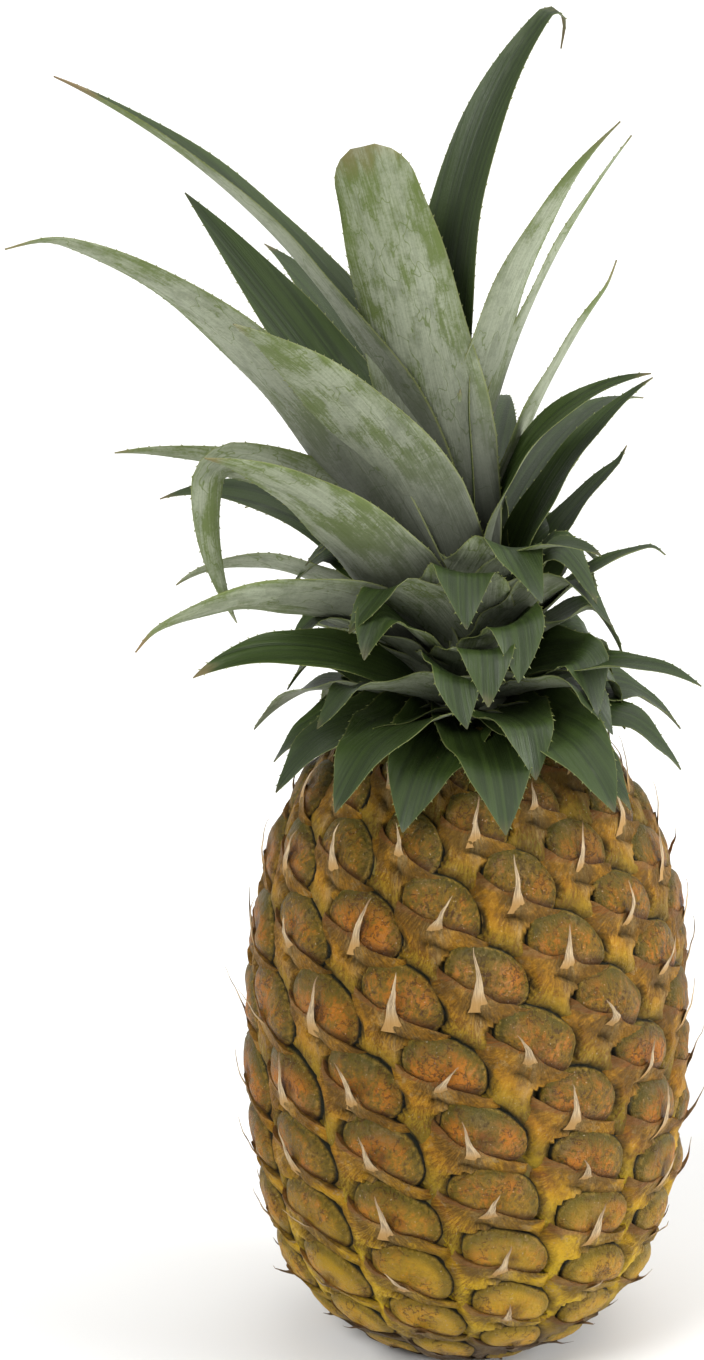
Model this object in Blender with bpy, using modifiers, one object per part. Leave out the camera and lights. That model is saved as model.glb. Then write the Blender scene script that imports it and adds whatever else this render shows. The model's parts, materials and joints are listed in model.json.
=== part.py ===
"""A fresh pineapple standing on its base: the fruit, the cut stalk end and the crown of leaves.

Blender 4.5, metres, +Z up. The origin is the middle of the flat spot that the fruit rests on, and the
front of the fruit faces -Y. Azimuths are in degrees round the fruit from the front, positive to the right.
"""

import math
from dataclasses import dataclass

import bmesh
import bpy
import numpy as np

MM = 0.001
GAP = 0.3 * MM
CUT_GAP = 0.5 * MM

# The fruit's turned outline: two superellipse halves that meet at the widest level
FRUIT_RADIUS = 59.5 * MM
WIDEST_HEIGHT = 95 * MM
UPPER_REACH = 93.5 * MM
UPPER_POWER = 2.36
LOWER_REACH = 99.6 * MM
LOWER_POWER = 3.59
FRUIT_TOP = 181 * MM

# The spiral of eyes: each eye is one turn of DIVERGENCE round from the last and EYE_RISE further up
DIVERGENCE = -139.43
EYE_RISE = 1.41 * MM
EYE_SHRINK = 0.3
FIRST_EYE_AZIMUTH = -8.3
FIRST_EYE_ABOVE_WIDEST = 3.7 * MM
LOWER_TWIST = -0.7
LOWER_TWIST_BELOW_EYE = -8
STEP_RIGHT = 5
STEP_LEFT = 13
CELLS_PER_EYE = 5

# An eye, at the widest level
DOME_HALF_WIDTH = 10.2 * MM
DOME_HALF_HEIGHT = 7.4 * MM
DOME_RAISED_BY = 5.0 * MM
DOME_RELIEF = 2.4 * MM
BRACT_HALF_WIDTH = 11.5 * MM
BRACT_HALF_HEIGHT = 7.0 * MM
BRACT_LOWERED_BY = 4.2 * MM
BRACT_RELIEF = 1.9 * MM
GROOVE_DEPTH = 0.9 * MM
SPIKE_TIP_UP = 9.4 * MM
SPIKE_TIP_OUT = 5.4 * MM
SPIKE_BASE_REACH = 5.2 * MM
SPIKE_BASE_OUT = 0.5 * MM
SPIKE_BASE_SQUEEZE = 0.42
BARE_BASE = 6 * MM
BARE_TOP = 5 * MM
RELIEF_FADE = 7 * MM
TRIM_MARGIN = 1.5 * MM

# Where the stalk and the crown sit
STALK_RADIUS = 13 * MM
STALK_HEIGHT = 7 * MM
SOCKET_DEPTH = 6 * MM
STEM_FOOT_RADIUS = 12.5 * MM
STEM_TOP = 236 * MM
STEM_TOP_RADIUS = 4.5 * MM
STEM_LEAN = -0.08

# The blades: a channelled section that opens out from the root towards the middle
BLADE_THICKNESS = 1.0 * MM
TIP_THINNING = 0.3
ROOT_CHANNEL = 62
CHANNEL_OPENS_BY = 34
CHANNEL_DEPTH = 0.8
FOLD_SPREAD = 0.08
ROOT_SUNK = 3 * MM
FLAT_ANGLE = 1.5
CUT_BLADE_FACES = 130
SIMPLIFIED_BY = 0.75
CROWN_SIMPLIFIED_TO = 0.8
BASAL_LEAVES = 32
BASAL_FIRST_HEIGHT = 185
BASAL_LAST_HEIGHT = 207
HEART_LEAVES = 4
HEART_HEIGHT = 231


@dataclass(frozen=True)
class Leaf:
    """A blade: its root, the curve of its midrib and its width. Angles are in degrees, lengths in mm.

    The midrib leaves the stem at the rise and ends at the fall, both above the level, and side turns it
    sideways on the way. The roll turns the blade about its midrib. A folded blade bends down by fold_by
    at fold_at of its length.
    """

    azimuth: float
    height: float
    length: float
    width: float
    rise: float
    fall: float
    side: float = 0.0
    bend: float = 1.3
    roll: float = 0.0
    fold_at: float = 2.0
    fold_by: float = 0.0
    blunt: bool = False
    foot: float = 0.72
    segments: int = 9


LONG_LEAVES = {
    "leaf_front_blunt": Leaf(-20, 225, 117, 33, 83, 86, side=-16, blunt=True),
    "leaf_front_broad": Leaf(-38, 213, 121, 34, 74, 30, side=-8, bend=0.9, roll=25, segments=11),
    "leaf_left_long": Leaf(-65, 211, 181, 26, 59, 13, side=9, bend=1.95, roll=32, segments=13),
    "leaf_left_high": Leaf(-98, 224, 172, 24, 86, 25, side=2, bend=0.8, roll=-22, segments=13),
    "leaf_right_tall": Leaf(120, 231, 160, 27, 102, 31, side=8, bend=1.5, roll=15, segments=13),
    "leaf_right_high": Leaf(36, 220, 145, 22, 100, 42, side=6, bend=1.0, roll=10, segments=12),
    "leaf_back_left": Leaf(-130, 226, 121, 26, 54, 44, side=10, bend=0.9, roll=-30),
    "leaf_back_small": Leaf(-150, 231, 94, 20, 50, 58),
    "leaf_right_second": Leaf(106, 227, 119, 18, 98, 54, bend=0.75, roll=25),
    "leaf_right_third": Leaf(104, 215, 98, 18, 88, 51, bend=0.8, roll=25),
    "leaf_right_arched": Leaf(72, 207, 95, 22, 100, 14, side=-2, bend=1.15, roll=22),
    "leaf_right_fifth": Leaf(96, 203, 85, 18, 80, 34, roll=18),
    "leaf_right_sixth": Leaf(118, 200, 66, 17, 64, 30),
    "leaf_right_curled": Leaf(45, 200, 61, 28, 98, -15, side=4, bend=1.1),
    "leaf_right_low": Leaf(86, 195, 59, 18, 62, 10, bend=1.35),
    "leaf_right_lowest": Leaf(60, 190, 62, 22, 27, -21, bend=2.0),
    "leaf_left_broad": Leaf(-50, 201, 105, 28, 59, 18, side=-2, roll=35, segments=11),
    "leaf_left_level": Leaf(-100, 208, 104, 22, 74, -6, side=3, bend=0.7, roll=45),
    "leaf_left_folded": Leaf(
        -78, 204, 131, 22, 74, -23, side=1, bend=1.0, roll=20, fold_at=0.64, fold_by=72, segments=12
    ),
    "leaf_left_fourth": Leaf(-116, 202, 96, 20, 50, -25, bend=1.4, roll=40),
    "leaf_left_fifth": Leaf(-96, 197, 79, 22, 42, -38, side=-6, bend=1.8, roll=35),
    "leaf_left_low": Leaf(-65, 194, 99, 24, 57, -25, side=2, bend=0.9, roll=45),
    "leaf_left_lowest": Leaf(-60, 189, 81, 22, 31, -20, side=5, bend=2.0, roll=30),
    "leaf_rear_high": Leaf(-160, 219, 122, 26, 74, 26, segments=12),
    "leaf_rear_left": Leaf(-148, 211, 130, 26, 64, 10, segments=12),
    "leaf_rear_right": Leaf(150, 211, 112, 24, 46, -16),
    "leaf_rear_low": Leaf(172, 203, 110, 24, 50, -12),
    "leaf_rear_lowest": Leaf(-138, 200, 90, 20, 44, -25),
}


def make_material(name, colour, roughness):
    """Return a Principled material of one colour."""
    material = bpy.data.materials.new(name)
    material.use_nodes = True
    shader = material.node_tree.nodes["Principled BSDF"]
    shader.inputs["Base Color"].default_value = (*colour, 1.0)
    shader.inputs["Roughness"].default_value = roughness
    shader.inputs["Metallic"].default_value = 0.0
    material.diffuse_color = (*colour, 1.0)
    return material


def new_collection(name):
    """Return a new collection in the scene."""
    collection = bpy.data.collections.new(name)
    bpy.context.scene.collection.children.link(collection)
    return collection


def remove_collection(collection):
    """Remove a collection and the objects in it."""
    for body in list(collection.objects):
        bpy.data.objects.remove(body)
    bpy.data.collections.remove(collection)


def new_object(name, mesh, collection, material=None):
    """Return a new object for a mesh, in a collection."""
    body = bpy.data.objects.new(name, mesh)
    collection.objects.link(body)
    if material:
        mesh.materials.append(material)
    return body


def object_from_faces(name, points, faces, collection, material=None):
    """Return an object for a lofted body, with its faces turned outwards."""
    mesh = bpy.data.meshes.new(name)
    mesh.from_pydata([tuple(point) for point in points], [], faces)
    shape = bmesh.new()
    shape.from_mesh(mesh)
    bmesh.ops.recalc_face_normals(shape, faces=shape.faces)
    shape.to_mesh(mesh)
    shape.free()
    return new_object(name, mesh, collection, material)


def smooth(body, angle=60):
    """Shade a body smooth, with its sharp edges kept."""
    body.data.shade_smooth()
    body.data.set_sharp_from_angle(angle=math.radians(angle))


def fruit_outline(samples=1441):
    """Return radius, height, distance along the outline and eye number, from the base to the top."""
    angle = np.radians(np.linspace(-89.5, 89.5, samples))
    radius = FRUIT_RADIUS * np.cos(angle)
    level = np.abs(np.sin(angle))
    height = WIDEST_HEIGHT + np.where(
        angle > 0, UPPER_REACH * level ** (2 / UPPER_POWER), -LOWER_REACH * level ** (2 / LOWER_POWER)
    )
    pieces = np.hypot(np.diff(radius), np.diff(height))
    along = np.concatenate([[0.0], np.cumsum(pieces)])
    along -= np.interp(WIDEST_HEIGHT, height, along)
    width = (radius[1:] + radius[:-1]) / (2 * FRUIT_RADIUS)
    number = np.concatenate([[0.0], np.cumsum(pieces / (EYE_RISE * width**EYE_SHRINK))])
    number -= np.interp(FIRST_EYE_ABOVE_WIDEST, along, number)
    return radius, height, along, number


def eye_relief(across, upward):
    """Return how far an eye's surface stands out, at a distance from its centre, before it is scaled."""
    dome = (
        1
        - np.abs(across / DOME_HALF_WIDTH) ** 2.4
        - np.abs((upward - DOME_RAISED_BY) / DOME_HALF_HEIGHT) ** 2.4
    )
    narrowing = np.clip(1 + (upward + BRACT_LOWERED_BY) / (2.2 * BRACT_HALF_HEIGHT), 0.25, 1)
    bract = (
        1
        - np.abs(across / (BRACT_HALF_WIDTH * narrowing)) ** 2
        - np.abs((upward + BRACT_LOWERED_BY) / BRACT_HALF_HEIGHT) ** 2
    )
    dome = DOME_RELIEF * np.sqrt(np.clip(dome, 0, 1))
    bract = BRACT_RELIEF * np.sqrt(np.clip(bract, 0, 1))
    return np.maximum(dome, bract) - GROOVE_DEPTH


class EyeGrid:
    """The fruit's surface as a spiral grid, CELLS_PER_EYE cells from each eye to the next."""

    def __init__(self):
        self.radius, self.height, self.along, self.number = fruit_outline()
        self.azimuth_right = self.turn(STEP_RIGHT)
        self.azimuth_left = self.turn(STEP_LEFT)

    @staticmethod
    def turn(step):
        """Return the azimuth, within half a turn, from an eye to the one a number of eyes on."""
        return (DIVERGENCE * step + 180) % 360 - 180

    def place(self, azimuth, number, out, up):
        """Return the point at an azimuth and eye number, moved out of the surface and up along it."""
        along = np.interp(number, self.number, self.along) + up
        radius = np.interp(along, self.along, self.radius)
        height = np.interp(along, self.along, self.height)
        step = 0.5 * MM
        rise = np.interp(along + step, self.along, self.height)
        rise -= np.interp(along - step, self.along, self.height)
        run = np.interp(along + step, self.along, self.radius)
        run -= np.interp(along - step, self.along, self.radius)
        slope = np.hypot(rise, run)
        radius = radius + out * rise / slope
        height = height - out * run / slope
        twist = LOWER_TWIST * np.maximum(0, LOWER_TWIST_BELOW_EYE - number)
        angle = np.radians(FIRST_EYE_AZIMUTH + azimuth + twist)
        return np.stack([radius * np.sin(angle), -radius * np.cos(angle), height], -1)

    def scale(self, number):
        """Return the size of an eye beside one at the widest level."""
        return np.interp(number, self.number, self.radius) / FRUIT_RADIUS

    def nearest_eye(self, column, row):
        """Return the offset across and upward from the nearest eye, and that eye's column and row."""
        k = CELLS_PER_EYE
        best = None
        for right in (0, 1):
            for left in (0, 1):
                eye_column = np.floor_divide(column, k) + right
                eye_row = np.floor_divide(row, k) + left
                d_column = column / k - eye_column
                d_row = row / k - eye_row
                azimuth = d_column * self.azimuth_right + d_row * self.azimuth_left
                across = np.radians(azimuth) * FRUIT_RADIUS
                upward = (d_column * STEP_RIGHT + d_row * STEP_LEFT) * EYE_RISE
                found = np.stack([np.hypot(across, 1.15 * upward), across, upward, eye_column, eye_row])
                best = found if best is None else np.where(found[0] < best[0], found, best)
        return best[1:]

    def build(self, low, high):
        """Return the points and triangles of the surface between two heights, a little past both."""
        k = CELLS_PER_EYE
        turn = STEP_LEFT * k
        first = np.interp(low, self.height, self.number)
        last = np.interp(high, self.height, self.number)
        cells = []
        for column in range(turn):
            start = math.floor((first * k - STEP_RIGHT * column) / STEP_LEFT)
            end = math.ceil((last * k - STEP_RIGHT * column) / STEP_LEFT)
            cells += [(column, row) for row in range(start, end + 1)]
        index = {cell: i for i, cell in enumerate(cells)}

        def corner(column, row):
            if column >= turn:
                column, row = column - turn, row + STEP_RIGHT * k
            return index.get((column, row))

        faces = []
        for column, row in cells:
            here = corner(column, row)
            right = corner(column + 1, row)
            left = corner(column, row + 1)
            across = corner(column + 1, row + 1)
            if None not in (here, right, across):
                faces.append((here, right, across))
            if None not in (here, across, left):
                faces.append((here, across, left))
        return self.points(np.array(cells, float), low, high), faces

    def points(self, cells, low, high):
        """Return the place of each grid point, with its eye's relief and spike."""
        column, row = cells.T
        k = CELLS_PER_EYE
        number = (column * STEP_RIGHT + row * STEP_LEFT) / k
        azimuth = (column * self.azimuth_right + row * self.azimuth_left) / k
        across, upward, eye_column, eye_row = self.nearest_eye(column, row)
        scale = self.scale(number)
        height = np.interp(number, self.number, self.height)
        edge = np.minimum(height - low, high - height)
        fade = np.clip(edge / RELIEF_FADE, 0, 1)
        out = eye_relief(across, upward) * scale * fade
        eye_number = eye_column * STEP_RIGHT + eye_row * STEP_LEFT
        eye_height = np.interp(eye_number, self.number, self.height)
        has_spike = (eye_height > low + BARE_BASE) & (eye_height < high - BARE_TOP)
        reach = np.hypot(across, upward)
        centre = has_spike & (reach < MM / 10)
        beside = has_spike & (reach >= MM / 10) & (reach < SPIKE_BASE_REACH)
        pull = np.where(beside, 1 - SPIKE_BASE_SQUEEZE, 0.0)
        azimuth = azimuth - pull * np.degrees(across / FRUIT_RADIUS)
        up = np.where(centre, SPIKE_TIP_UP * scale, -pull * upward * scale)
        out = np.where(beside, out + SPIKE_BASE_OUT * scale, out)
        out = np.where(centre, SPIKE_TIP_OUT * scale, out)
        return self.place(azimuth, number, out, up)


def build_fruit(collection, cutters, material):
    """Return the fruit: the grid of eyes cut flat at both ends, with a socket for the stalk and the crown."""
    grid = EyeGrid()
    points, faces = grid.build(-TRIM_MARGIN, FRUIT_TOP + TRIM_MARGIN)
    mesh = bpy.data.meshes.new("fruit")
    mesh.from_pydata([tuple(point) for point in points], [], faces)
    shape = bmesh.new()
    shape.from_mesh(mesh)
    for height, outwards in ((0.0, -1), (FRUIT_TOP, 1)):
        bmesh.ops.bisect_plane(
            shape,
            geom=shape.verts[:] + shape.edges[:] + shape.faces[:],
            dist=1e-7,
            plane_co=(0, 0, height),
            plane_no=(0, 0, outwards),
            clear_outer=True,
        )
        rim = [edge for edge in shape.edges if edge.is_boundary]
        rim = [edge for edge in rim if all(abs(vertex.co.z - height) < 1e-6 for vertex in edge.verts)]
        bmesh.ops.contextual_create(shape, geom=rim)
    bmesh.ops.triangulate(shape, faces=[face for face in shape.faces if len(face.verts) > 3])
    bmesh.ops.recalc_face_normals(shape, faces=shape.faces)
    shape.to_mesh(mesh)
    shape.free()
    fruit = new_object("fruit", mesh, collection, material)
    smooth(fruit)
    hollows = {
        "stalk_socket": (0.0, STALK_RADIUS + GAP, STALK_HEIGHT + GAP),
        "crown_socket": (FRUIT_TOP, STEM_FOOT_RADIUS + GAP, SOCKET_DEPTH + GAP),
    }
    for name, (height, radius, depth) in hollows.items():
        bpy.ops.mesh.primitive_cylinder_add(
            vertices=32, radius=radius, depth=2 * depth, location=(0, 0, height)
        )
        cutter = bpy.context.object
        cutter.name = name
        for holder in list(cutter.users_collection):
            holder.objects.unlink(cutter)
        cutters.objects.link(cutter)
        cutter.hide_render = True
        cutter.display_type = "WIRE"
        cut = fruit.modifiers.new(name, "BOOLEAN")
        cut.operation = "DIFFERENCE"
        cut.object = cutter
    return fruit


def turned(name, outline, collection, material=None, sides=32):
    """Return a turned body from its outline, a list of (radius, height) from the top down."""
    mesh = bpy.data.meshes.new(name)
    points = [(radius, 0, height) for radius, height in outline]
    mesh.from_pydata(points, [(i, i + 1) for i in range(len(outline) - 1)], [])
    body = new_object(name, mesh, collection, material)
    screw = body.modifiers.new("turn", "SCREW")
    screw.steps = sides
    screw.render_steps = sides
    screw.use_merge_vertices = True
    screw.merge_threshold = 1e-6
    return body


def build_stalk_end(collection, material):
    """Return the cut end of the stalk, flush with the base."""
    outline = [
        (0, STALK_HEIGHT),
        (STALK_RADIUS - 1.5 * MM, STALK_HEIGHT),
        (STALK_RADIUS, STALK_HEIGHT - 1.5 * MM),
        (STALK_RADIUS, 1.0 * MM),
        (STALK_RADIUS - 1.0 * MM, 0),
        (0, 0),
    ]
    stalk = turned("stalk_end", outline, collection, material)
    smooth(stalk)
    return stalk


def stem_radius(height):
    """Return the crown stem's radius at a height."""
    share = (height - FRUIT_TOP) / (STEM_TOP - FRUIT_TOP)
    return STEM_FOOT_RADIUS + (STEM_TOP_RADIUS - STEM_FOOT_RADIUS) * min(max(share, 0), 1)


def midrib_direction(leaf, share):
    """Return the unit directions in which a blade's midrib runs, at shares of its length."""
    angle = np.radians(leaf.rise + (leaf.fall - leaf.rise) * share**leaf.bend)
    angle = angle - np.radians(leaf.fold_by) * np.clip((share - leaf.fold_at) / FOLD_SPREAD, 0, 1)
    lean = np.radians(leaf.side) * np.sqrt(share)
    outward, across = blade_axes(leaf)
    ahead = np.outer(np.cos(angle), outward) + np.outer(np.sin(angle), (0, 0, 1))
    return np.cos(lean)[:, None] * ahead + np.outer(np.sin(lean), across)


def blade_axes(leaf):
    """Return the level directions away from the stem and across the blade at its root."""
    turn = math.radians(leaf.azimuth)
    outward = np.array([math.sin(turn), -math.cos(turn), 0])
    across = np.array([math.cos(turn), math.sin(turn), 0])
    return outward, across


def leaf_sections(leaf, grow=0.0, sunk=0.0):
    """Return the blade's cross sections, each a closed ring of six points, from the root to the tip."""
    share = np.linspace(0, 1, leaf.segments + 1)
    fine = np.linspace(0, 1, 20 * leaf.segments + 1)
    outward, across = blade_axes(leaf)
    height = leaf.height * MM
    root = np.array([STEM_LEAN * (height - FRUIT_TOP), 0, height])
    root = root + (stem_radius(height) + GAP + BLADE_THICKNESS / 2 - sunk) * outward
    steps = midrib_direction(leaf, fine)
    length = leaf.length * MM + 2 * grow
    path = np.cumsum((steps[1:] + steps[:-1]) / 2 * (length / (len(fine) - 1)), 0)
    path = np.concatenate([[[0, 0, 0]], path])
    middle = np.stack([np.interp(share, fine, path[:, axis]) for axis in range(3)], -1)
    middle = middle + root - steps[0] * grow
    ahead = midrib_direction(leaf, share)
    inner = np.cross(ahead, across)
    inner /= np.linalg.norm(inner, axis=1)[:, None]
    sideways = np.cross(inner, ahead)
    twist = np.radians(leaf.roll) * (0.4 + 0.6 * np.minimum(share / 0.3, 1))
    sideways, inner = (
        np.cos(twist)[:, None] * sideways + np.sin(twist)[:, None] * inner,
        np.cos(twist)[:, None] * inner - np.sin(twist)[:, None] * sideways,
    )
    half = leaf.width * MM / 2 * leaf_width(share, leaf.blunt, leaf.foot) + grow
    opening = np.radians(ROOT_CHANNEL - CHANNEL_OPENS_BY * np.minimum(share / 0.5, 1))
    lift = (half * np.tan(opening / 2) * CHANNEL_DEPTH)[:, None] * inner
    edge = (half * np.cos(opening / 4))[:, None] * sideways
    upper = (BLADE_THICKNESS * (1 - TIP_THINNING * share) / 2 + grow)[:, None] * inner
    ring = [lift - edge - upper, -upper, lift + edge - upper, lift + edge + upper, upper, lift - edge + upper]
    return middle[:, None, :] + np.stack(ring, 1)


def leaf_width(share, blunt, foot):
    """Return the blade's width along its length, beside its greatest width."""
    foot = foot + (1 - foot) * np.minimum(share / 0.3, 1)
    if blunt:
        taper = 1 - 0.4 * share**2.2 - 0.22 * np.clip((share - 0.92) / 0.08, 0, 1) ** 2
    else:
        taper = np.maximum(1 - share**2.0, 0.0) * 0.97 + 0.03
    return foot * taper


def leaf_body(name, leaf, collection, material=None, grow=0.0, sunk=0.0):
    """Return a blade as one closed loft."""
    rings = leaf_sections(leaf, grow, sunk)
    faces = []
    for i in range(len(rings) - 1):
        for j in range(6):
            a = 6 * i + j
            b = 6 * i + (j + 1) % 6
            faces.append((a, b, b + 6))
            faces.append((a, b + 6, a + 6))
    last = 6 * (len(rings) - 1)
    for low in (0, last):
        faces.append((low, low + 1, low + 4))
        faces.append((low, low + 4, low + 5))
        faces.append((low + 1, low + 2, low + 3))
        faces.append((low + 1, low + 3, low + 4))
    return object_from_faces(name, rings.reshape(-1, 3), faces, collection, material)


def basal_leaf(index):
    """Return the short leaf at a place in the spiral round the crown's foot."""
    share = index / (BASAL_LEAVES - 1)
    wobble = math.sin(2.4 * index)
    return Leaf(
        azimuth=DIVERGENCE * index + 20,
        height=BASAL_FIRST_HEIGHT + (BASAL_LAST_HEIGHT - BASAL_FIRST_HEIGHT) * share,
        length=54 + 10 * share + 4 * wobble,
        width=23 + 4 * share,
        rise=16 + 62 * share,
        fall=-64 + 60 * share + 6 * wobble,
        bend=1.0,
        foot=0.5,
        segments=5,
    )


def heart_leaf(index):
    """Return an upright leaf at the top of the crown's stem."""
    return Leaf(
        azimuth=DIVERGENCE * index + 60,
        height=HEART_HEIGHT,
        length=30 + 5 * index,
        width=13,
        rise=84,
        fall=76,
        foot=0.5,
        segments=4,
    )


def stem_body(name, collection, grow=0.0):
    """Return the crown's leaning stem, turned from its outline."""
    levels = [FRUIT_TOP - SOCKET_DEPTH, FRUIT_TOP, 200 * MM, 218 * MM, STEM_TOP - 3 * MM]
    outline = [(0, STEM_TOP + grow), (STEM_TOP_RADIUS * 0.6 + grow, STEM_TOP - 0.6 * MM)]
    outline += [(stem_radius(level) + grow, level) for level in reversed(levels)]
    outline += [(0, levels[0] - grow)]
    turned_stem = turned("turned stem", outline, collection, sides=24)
    mesh = evaluated_mesh(turned_stem)
    bpy.data.objects.remove(turned_stem)
    for vertex in mesh.vertices:
        vertex.co.x += STEM_LEAN * max(vertex.co.z - FRUIT_TOP, 0)
    return new_object(name, mesh, collection)


def short_leaves():
    """Return the crown's short leaves: those round its foot and those at its heart."""
    short = [basal_leaf(index) for index in range(BASAL_LEAVES)]
    return short + [heart_leaf(index) for index in range(HEART_LEAVES)]


def build_crown_stem(collection, material):
    """Return the crown's stem and its short leaves, fused in one body."""
    pieces = new_collection("short leaves")
    stem = stem_body("crown_stem", collection)
    for index, leaf in enumerate(short_leaves()):
        leaf_body(f"short_{index}", leaf, pieces, sunk=ROOT_SUNK)
    join(stem, pieces)
    keep_largest_body(stem)
    simplify(stem, CROWN_SIMPLIFIED_TO)
    keep_largest_body(stem)
    stem.data.materials.clear()
    stem.data.materials.append(material)
    smooth(stem, 40)
    return stem


def grow_crown_stem(collection):
    """Add copies of the crown's stem and short leaves, a gap larger all round."""
    stem_body("stem_grown", collection, grow=CUT_GAP)
    for index, leaf in enumerate(short_leaves()):
        leaf_body(f"short_{index}_grown", leaf, collection, grow=CUT_GAP, sunk=ROOT_SUNK)


def evaluated_mesh(body):
    """Return a new mesh of a body as its modifiers leave it."""
    bpy.context.view_layer.update()
    graph = bpy.context.evaluated_depsgraph_get()
    return bpy.data.meshes.new_from_object(body.evaluated_get(graph))


def apply_modifier(body, modifier):
    """Make a modifier's result the body's own mesh."""
    mesh = evaluated_mesh(body)
    body.modifiers.remove(modifier)
    body.data = mesh


def join(body, pieces):
    """Fuse every object of a collection into a body, then remove the collection."""
    fuse = body.modifiers.new("fuse", "BOOLEAN")
    fuse.operation = "UNION"
    fuse.solver = "MANIFOLD"
    fuse.operand_type = "COLLECTION"
    fuse.collection = pieces
    apply_modifier(body, fuse)
    remove_collection(pieces)


def keep_largest_body(body):
    """Drop the loose scraps, sealed hollows and needless flat cuts that a Boolean leaves."""
    shape = bmesh.new()
    shape.from_mesh(body.data)
    bmesh.ops.remove_doubles(shape, verts=shape.verts, dist=0.004 * MM)
    left = set(shape.faces)
    bodies = []
    while left:
        found = []
        front = [left.pop()]
        while front:
            face = front.pop()
            found.append(face)
            near = {other for edge in face.edges for other in edge.link_faces} & left
            left -= near
            front += near
        bodies.append(found)
    bodies.sort(key=lambda faces: sum(face.calc_area() for face in faces), reverse=True)
    scraps = [face for found in bodies[1:] for face in found]
    bmesh.ops.delete(shape, geom=scraps, context="FACES")
    bmesh.ops.dissolve_limit(
        shape,
        angle_limit=math.radians(FLAT_ANGLE),
        verts=shape.verts,
        edges=shape.edges,
        use_dissolve_boundaries=False,
    )
    bmesh.ops.dissolve_degenerate(shape, dist=0.01 * MM, edges=shape.edges)
    bmesh.ops.triangulate(shape, faces=shape.faces)
    shape.to_mesh(body.data)
    shape.free()


def simplify(body, share):
    """Collapse a body's shortest edges until this share of its triangles is left."""
    fewer = body.modifiers.new("fewer", "DECIMATE")
    fewer.ratio = share
    apply_modifier(body, fewer)


def cut_clear(body, neighbours):
    """Cut a blade where it would come within the gap of a neighbour."""
    cut = body.modifiers.new("clearance", "BOOLEAN")
    cut.operation = "DIFFERENCE"
    cut.solver = "MANIFOLD"
    cut.operand_type = "COLLECTION"
    cut.collection = neighbours
    apply_modifier(body, cut)
    keep_largest_body(body)
    needless = len(body.data.polygons) - CUT_BLADE_FACES
    if needless > 0:
        simplify(body, 1 - SIMPLIFIED_BY * needless / len(body.data.polygons))
        keep_largest_body(body)


def main():
    """Build the pineapple."""
    for old in list(bpy.data.objects):
        bpy.data.objects.remove(old)
    pineapple = new_collection("pineapple")
    cutters = new_collection("cutters")
    rind = make_material("rind", (0.42, 0.20, 0.03), 0.6)
    stalk = make_material("cut stalk", (0.50, 0.38, 0.20), 0.85)
    foliage = make_material("leaf green", (0.06, 0.14, 0.05), 0.5)
    bloom = make_material("leaf bloom", (0.26, 0.33, 0.25), 0.6)
    build_fruit(pineapple, cutters, rind)
    build_stalk_end(pineapple, stalk)
    build_crown_stem(pineapple, foliage)
    grown = new_collection("grown copies")
    grow_crown_stem(grown)
    for name, leaf in LONG_LEAVES.items():
        body = leaf_body(name, leaf, pineapple, bloom)
        cut_clear(body, grown)
        smooth(body, 40)
        leaf_body(f"{name}_grown", leaf, grown, grow=CUT_GAP)
    remove_collection(grown)


main()
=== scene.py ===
"""Dress the pineapple: its rind of eyes, its crown of blades, and the studio round it.

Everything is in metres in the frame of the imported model: the origin is the middle of the flat spot under
the fruit, +Z is up and the front faces -Y. Azimuths are in degrees from the front, positive to the right.
"""

import json
import logging
import math
from collections.abc import Callable
from dataclasses import dataclass, field
from enum import Enum
from functools import cached_property

import bpy
import numpy as np
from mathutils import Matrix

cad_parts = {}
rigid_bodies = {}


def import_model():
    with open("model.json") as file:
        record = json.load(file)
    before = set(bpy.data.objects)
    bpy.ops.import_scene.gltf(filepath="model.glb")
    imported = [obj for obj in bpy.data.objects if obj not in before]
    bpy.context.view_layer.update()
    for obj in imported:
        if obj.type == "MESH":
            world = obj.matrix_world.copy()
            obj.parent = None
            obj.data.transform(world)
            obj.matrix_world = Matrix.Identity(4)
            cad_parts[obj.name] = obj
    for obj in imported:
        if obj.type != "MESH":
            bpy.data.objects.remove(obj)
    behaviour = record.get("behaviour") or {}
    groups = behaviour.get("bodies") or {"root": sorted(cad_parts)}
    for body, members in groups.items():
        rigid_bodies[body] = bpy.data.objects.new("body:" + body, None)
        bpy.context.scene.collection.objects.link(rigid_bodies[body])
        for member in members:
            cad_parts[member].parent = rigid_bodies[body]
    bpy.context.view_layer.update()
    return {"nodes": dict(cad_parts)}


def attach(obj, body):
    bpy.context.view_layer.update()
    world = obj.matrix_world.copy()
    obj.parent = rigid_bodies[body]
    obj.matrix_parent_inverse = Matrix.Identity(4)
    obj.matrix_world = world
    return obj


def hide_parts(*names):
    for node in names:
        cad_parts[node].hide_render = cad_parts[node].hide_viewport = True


LOG = logging.getLogger("pineapple")
MM = 0.001
DIVERGENCE = -139.43
SLIT_SLOPE = 0.32
SCAR_X = 2.0
SCAR_Y = 3.6
SHARP = 50.0
BLADE_STRIDE = 0.618
SHORT_STRIDE = 0.381
SHARP_TEETH = 70.0
Colour = tuple[float, float, float]
Table = dict[str, np.ndarray]


class Tip(Enum):
    """How a blade ends."""

    POINTED = "pointed"
    CUT = "cut"


class EyePart(Enum):
    """The three parts of an eye of the rind."""

    DOME = "dome"
    BRACT = "bract"
    SPIKE = "spike"


def joined_by(operation: str, swapped: bool = False) -> Callable[["Value", "Number"], "Value"]:
    """Return a method that joins a value with another one by a sum.

    Args:
        operation: The sum's name.
        swapped: Whether the other one comes first.

    Returns:
        The method.
    """

    def method(value: "Value", other: "Number") -> "Value":
        """Return what the sum gives."""
        first, second = (other, value) if swapped else (value, other)
        return value.nodes.math(operation, first, second)

    return method


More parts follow.
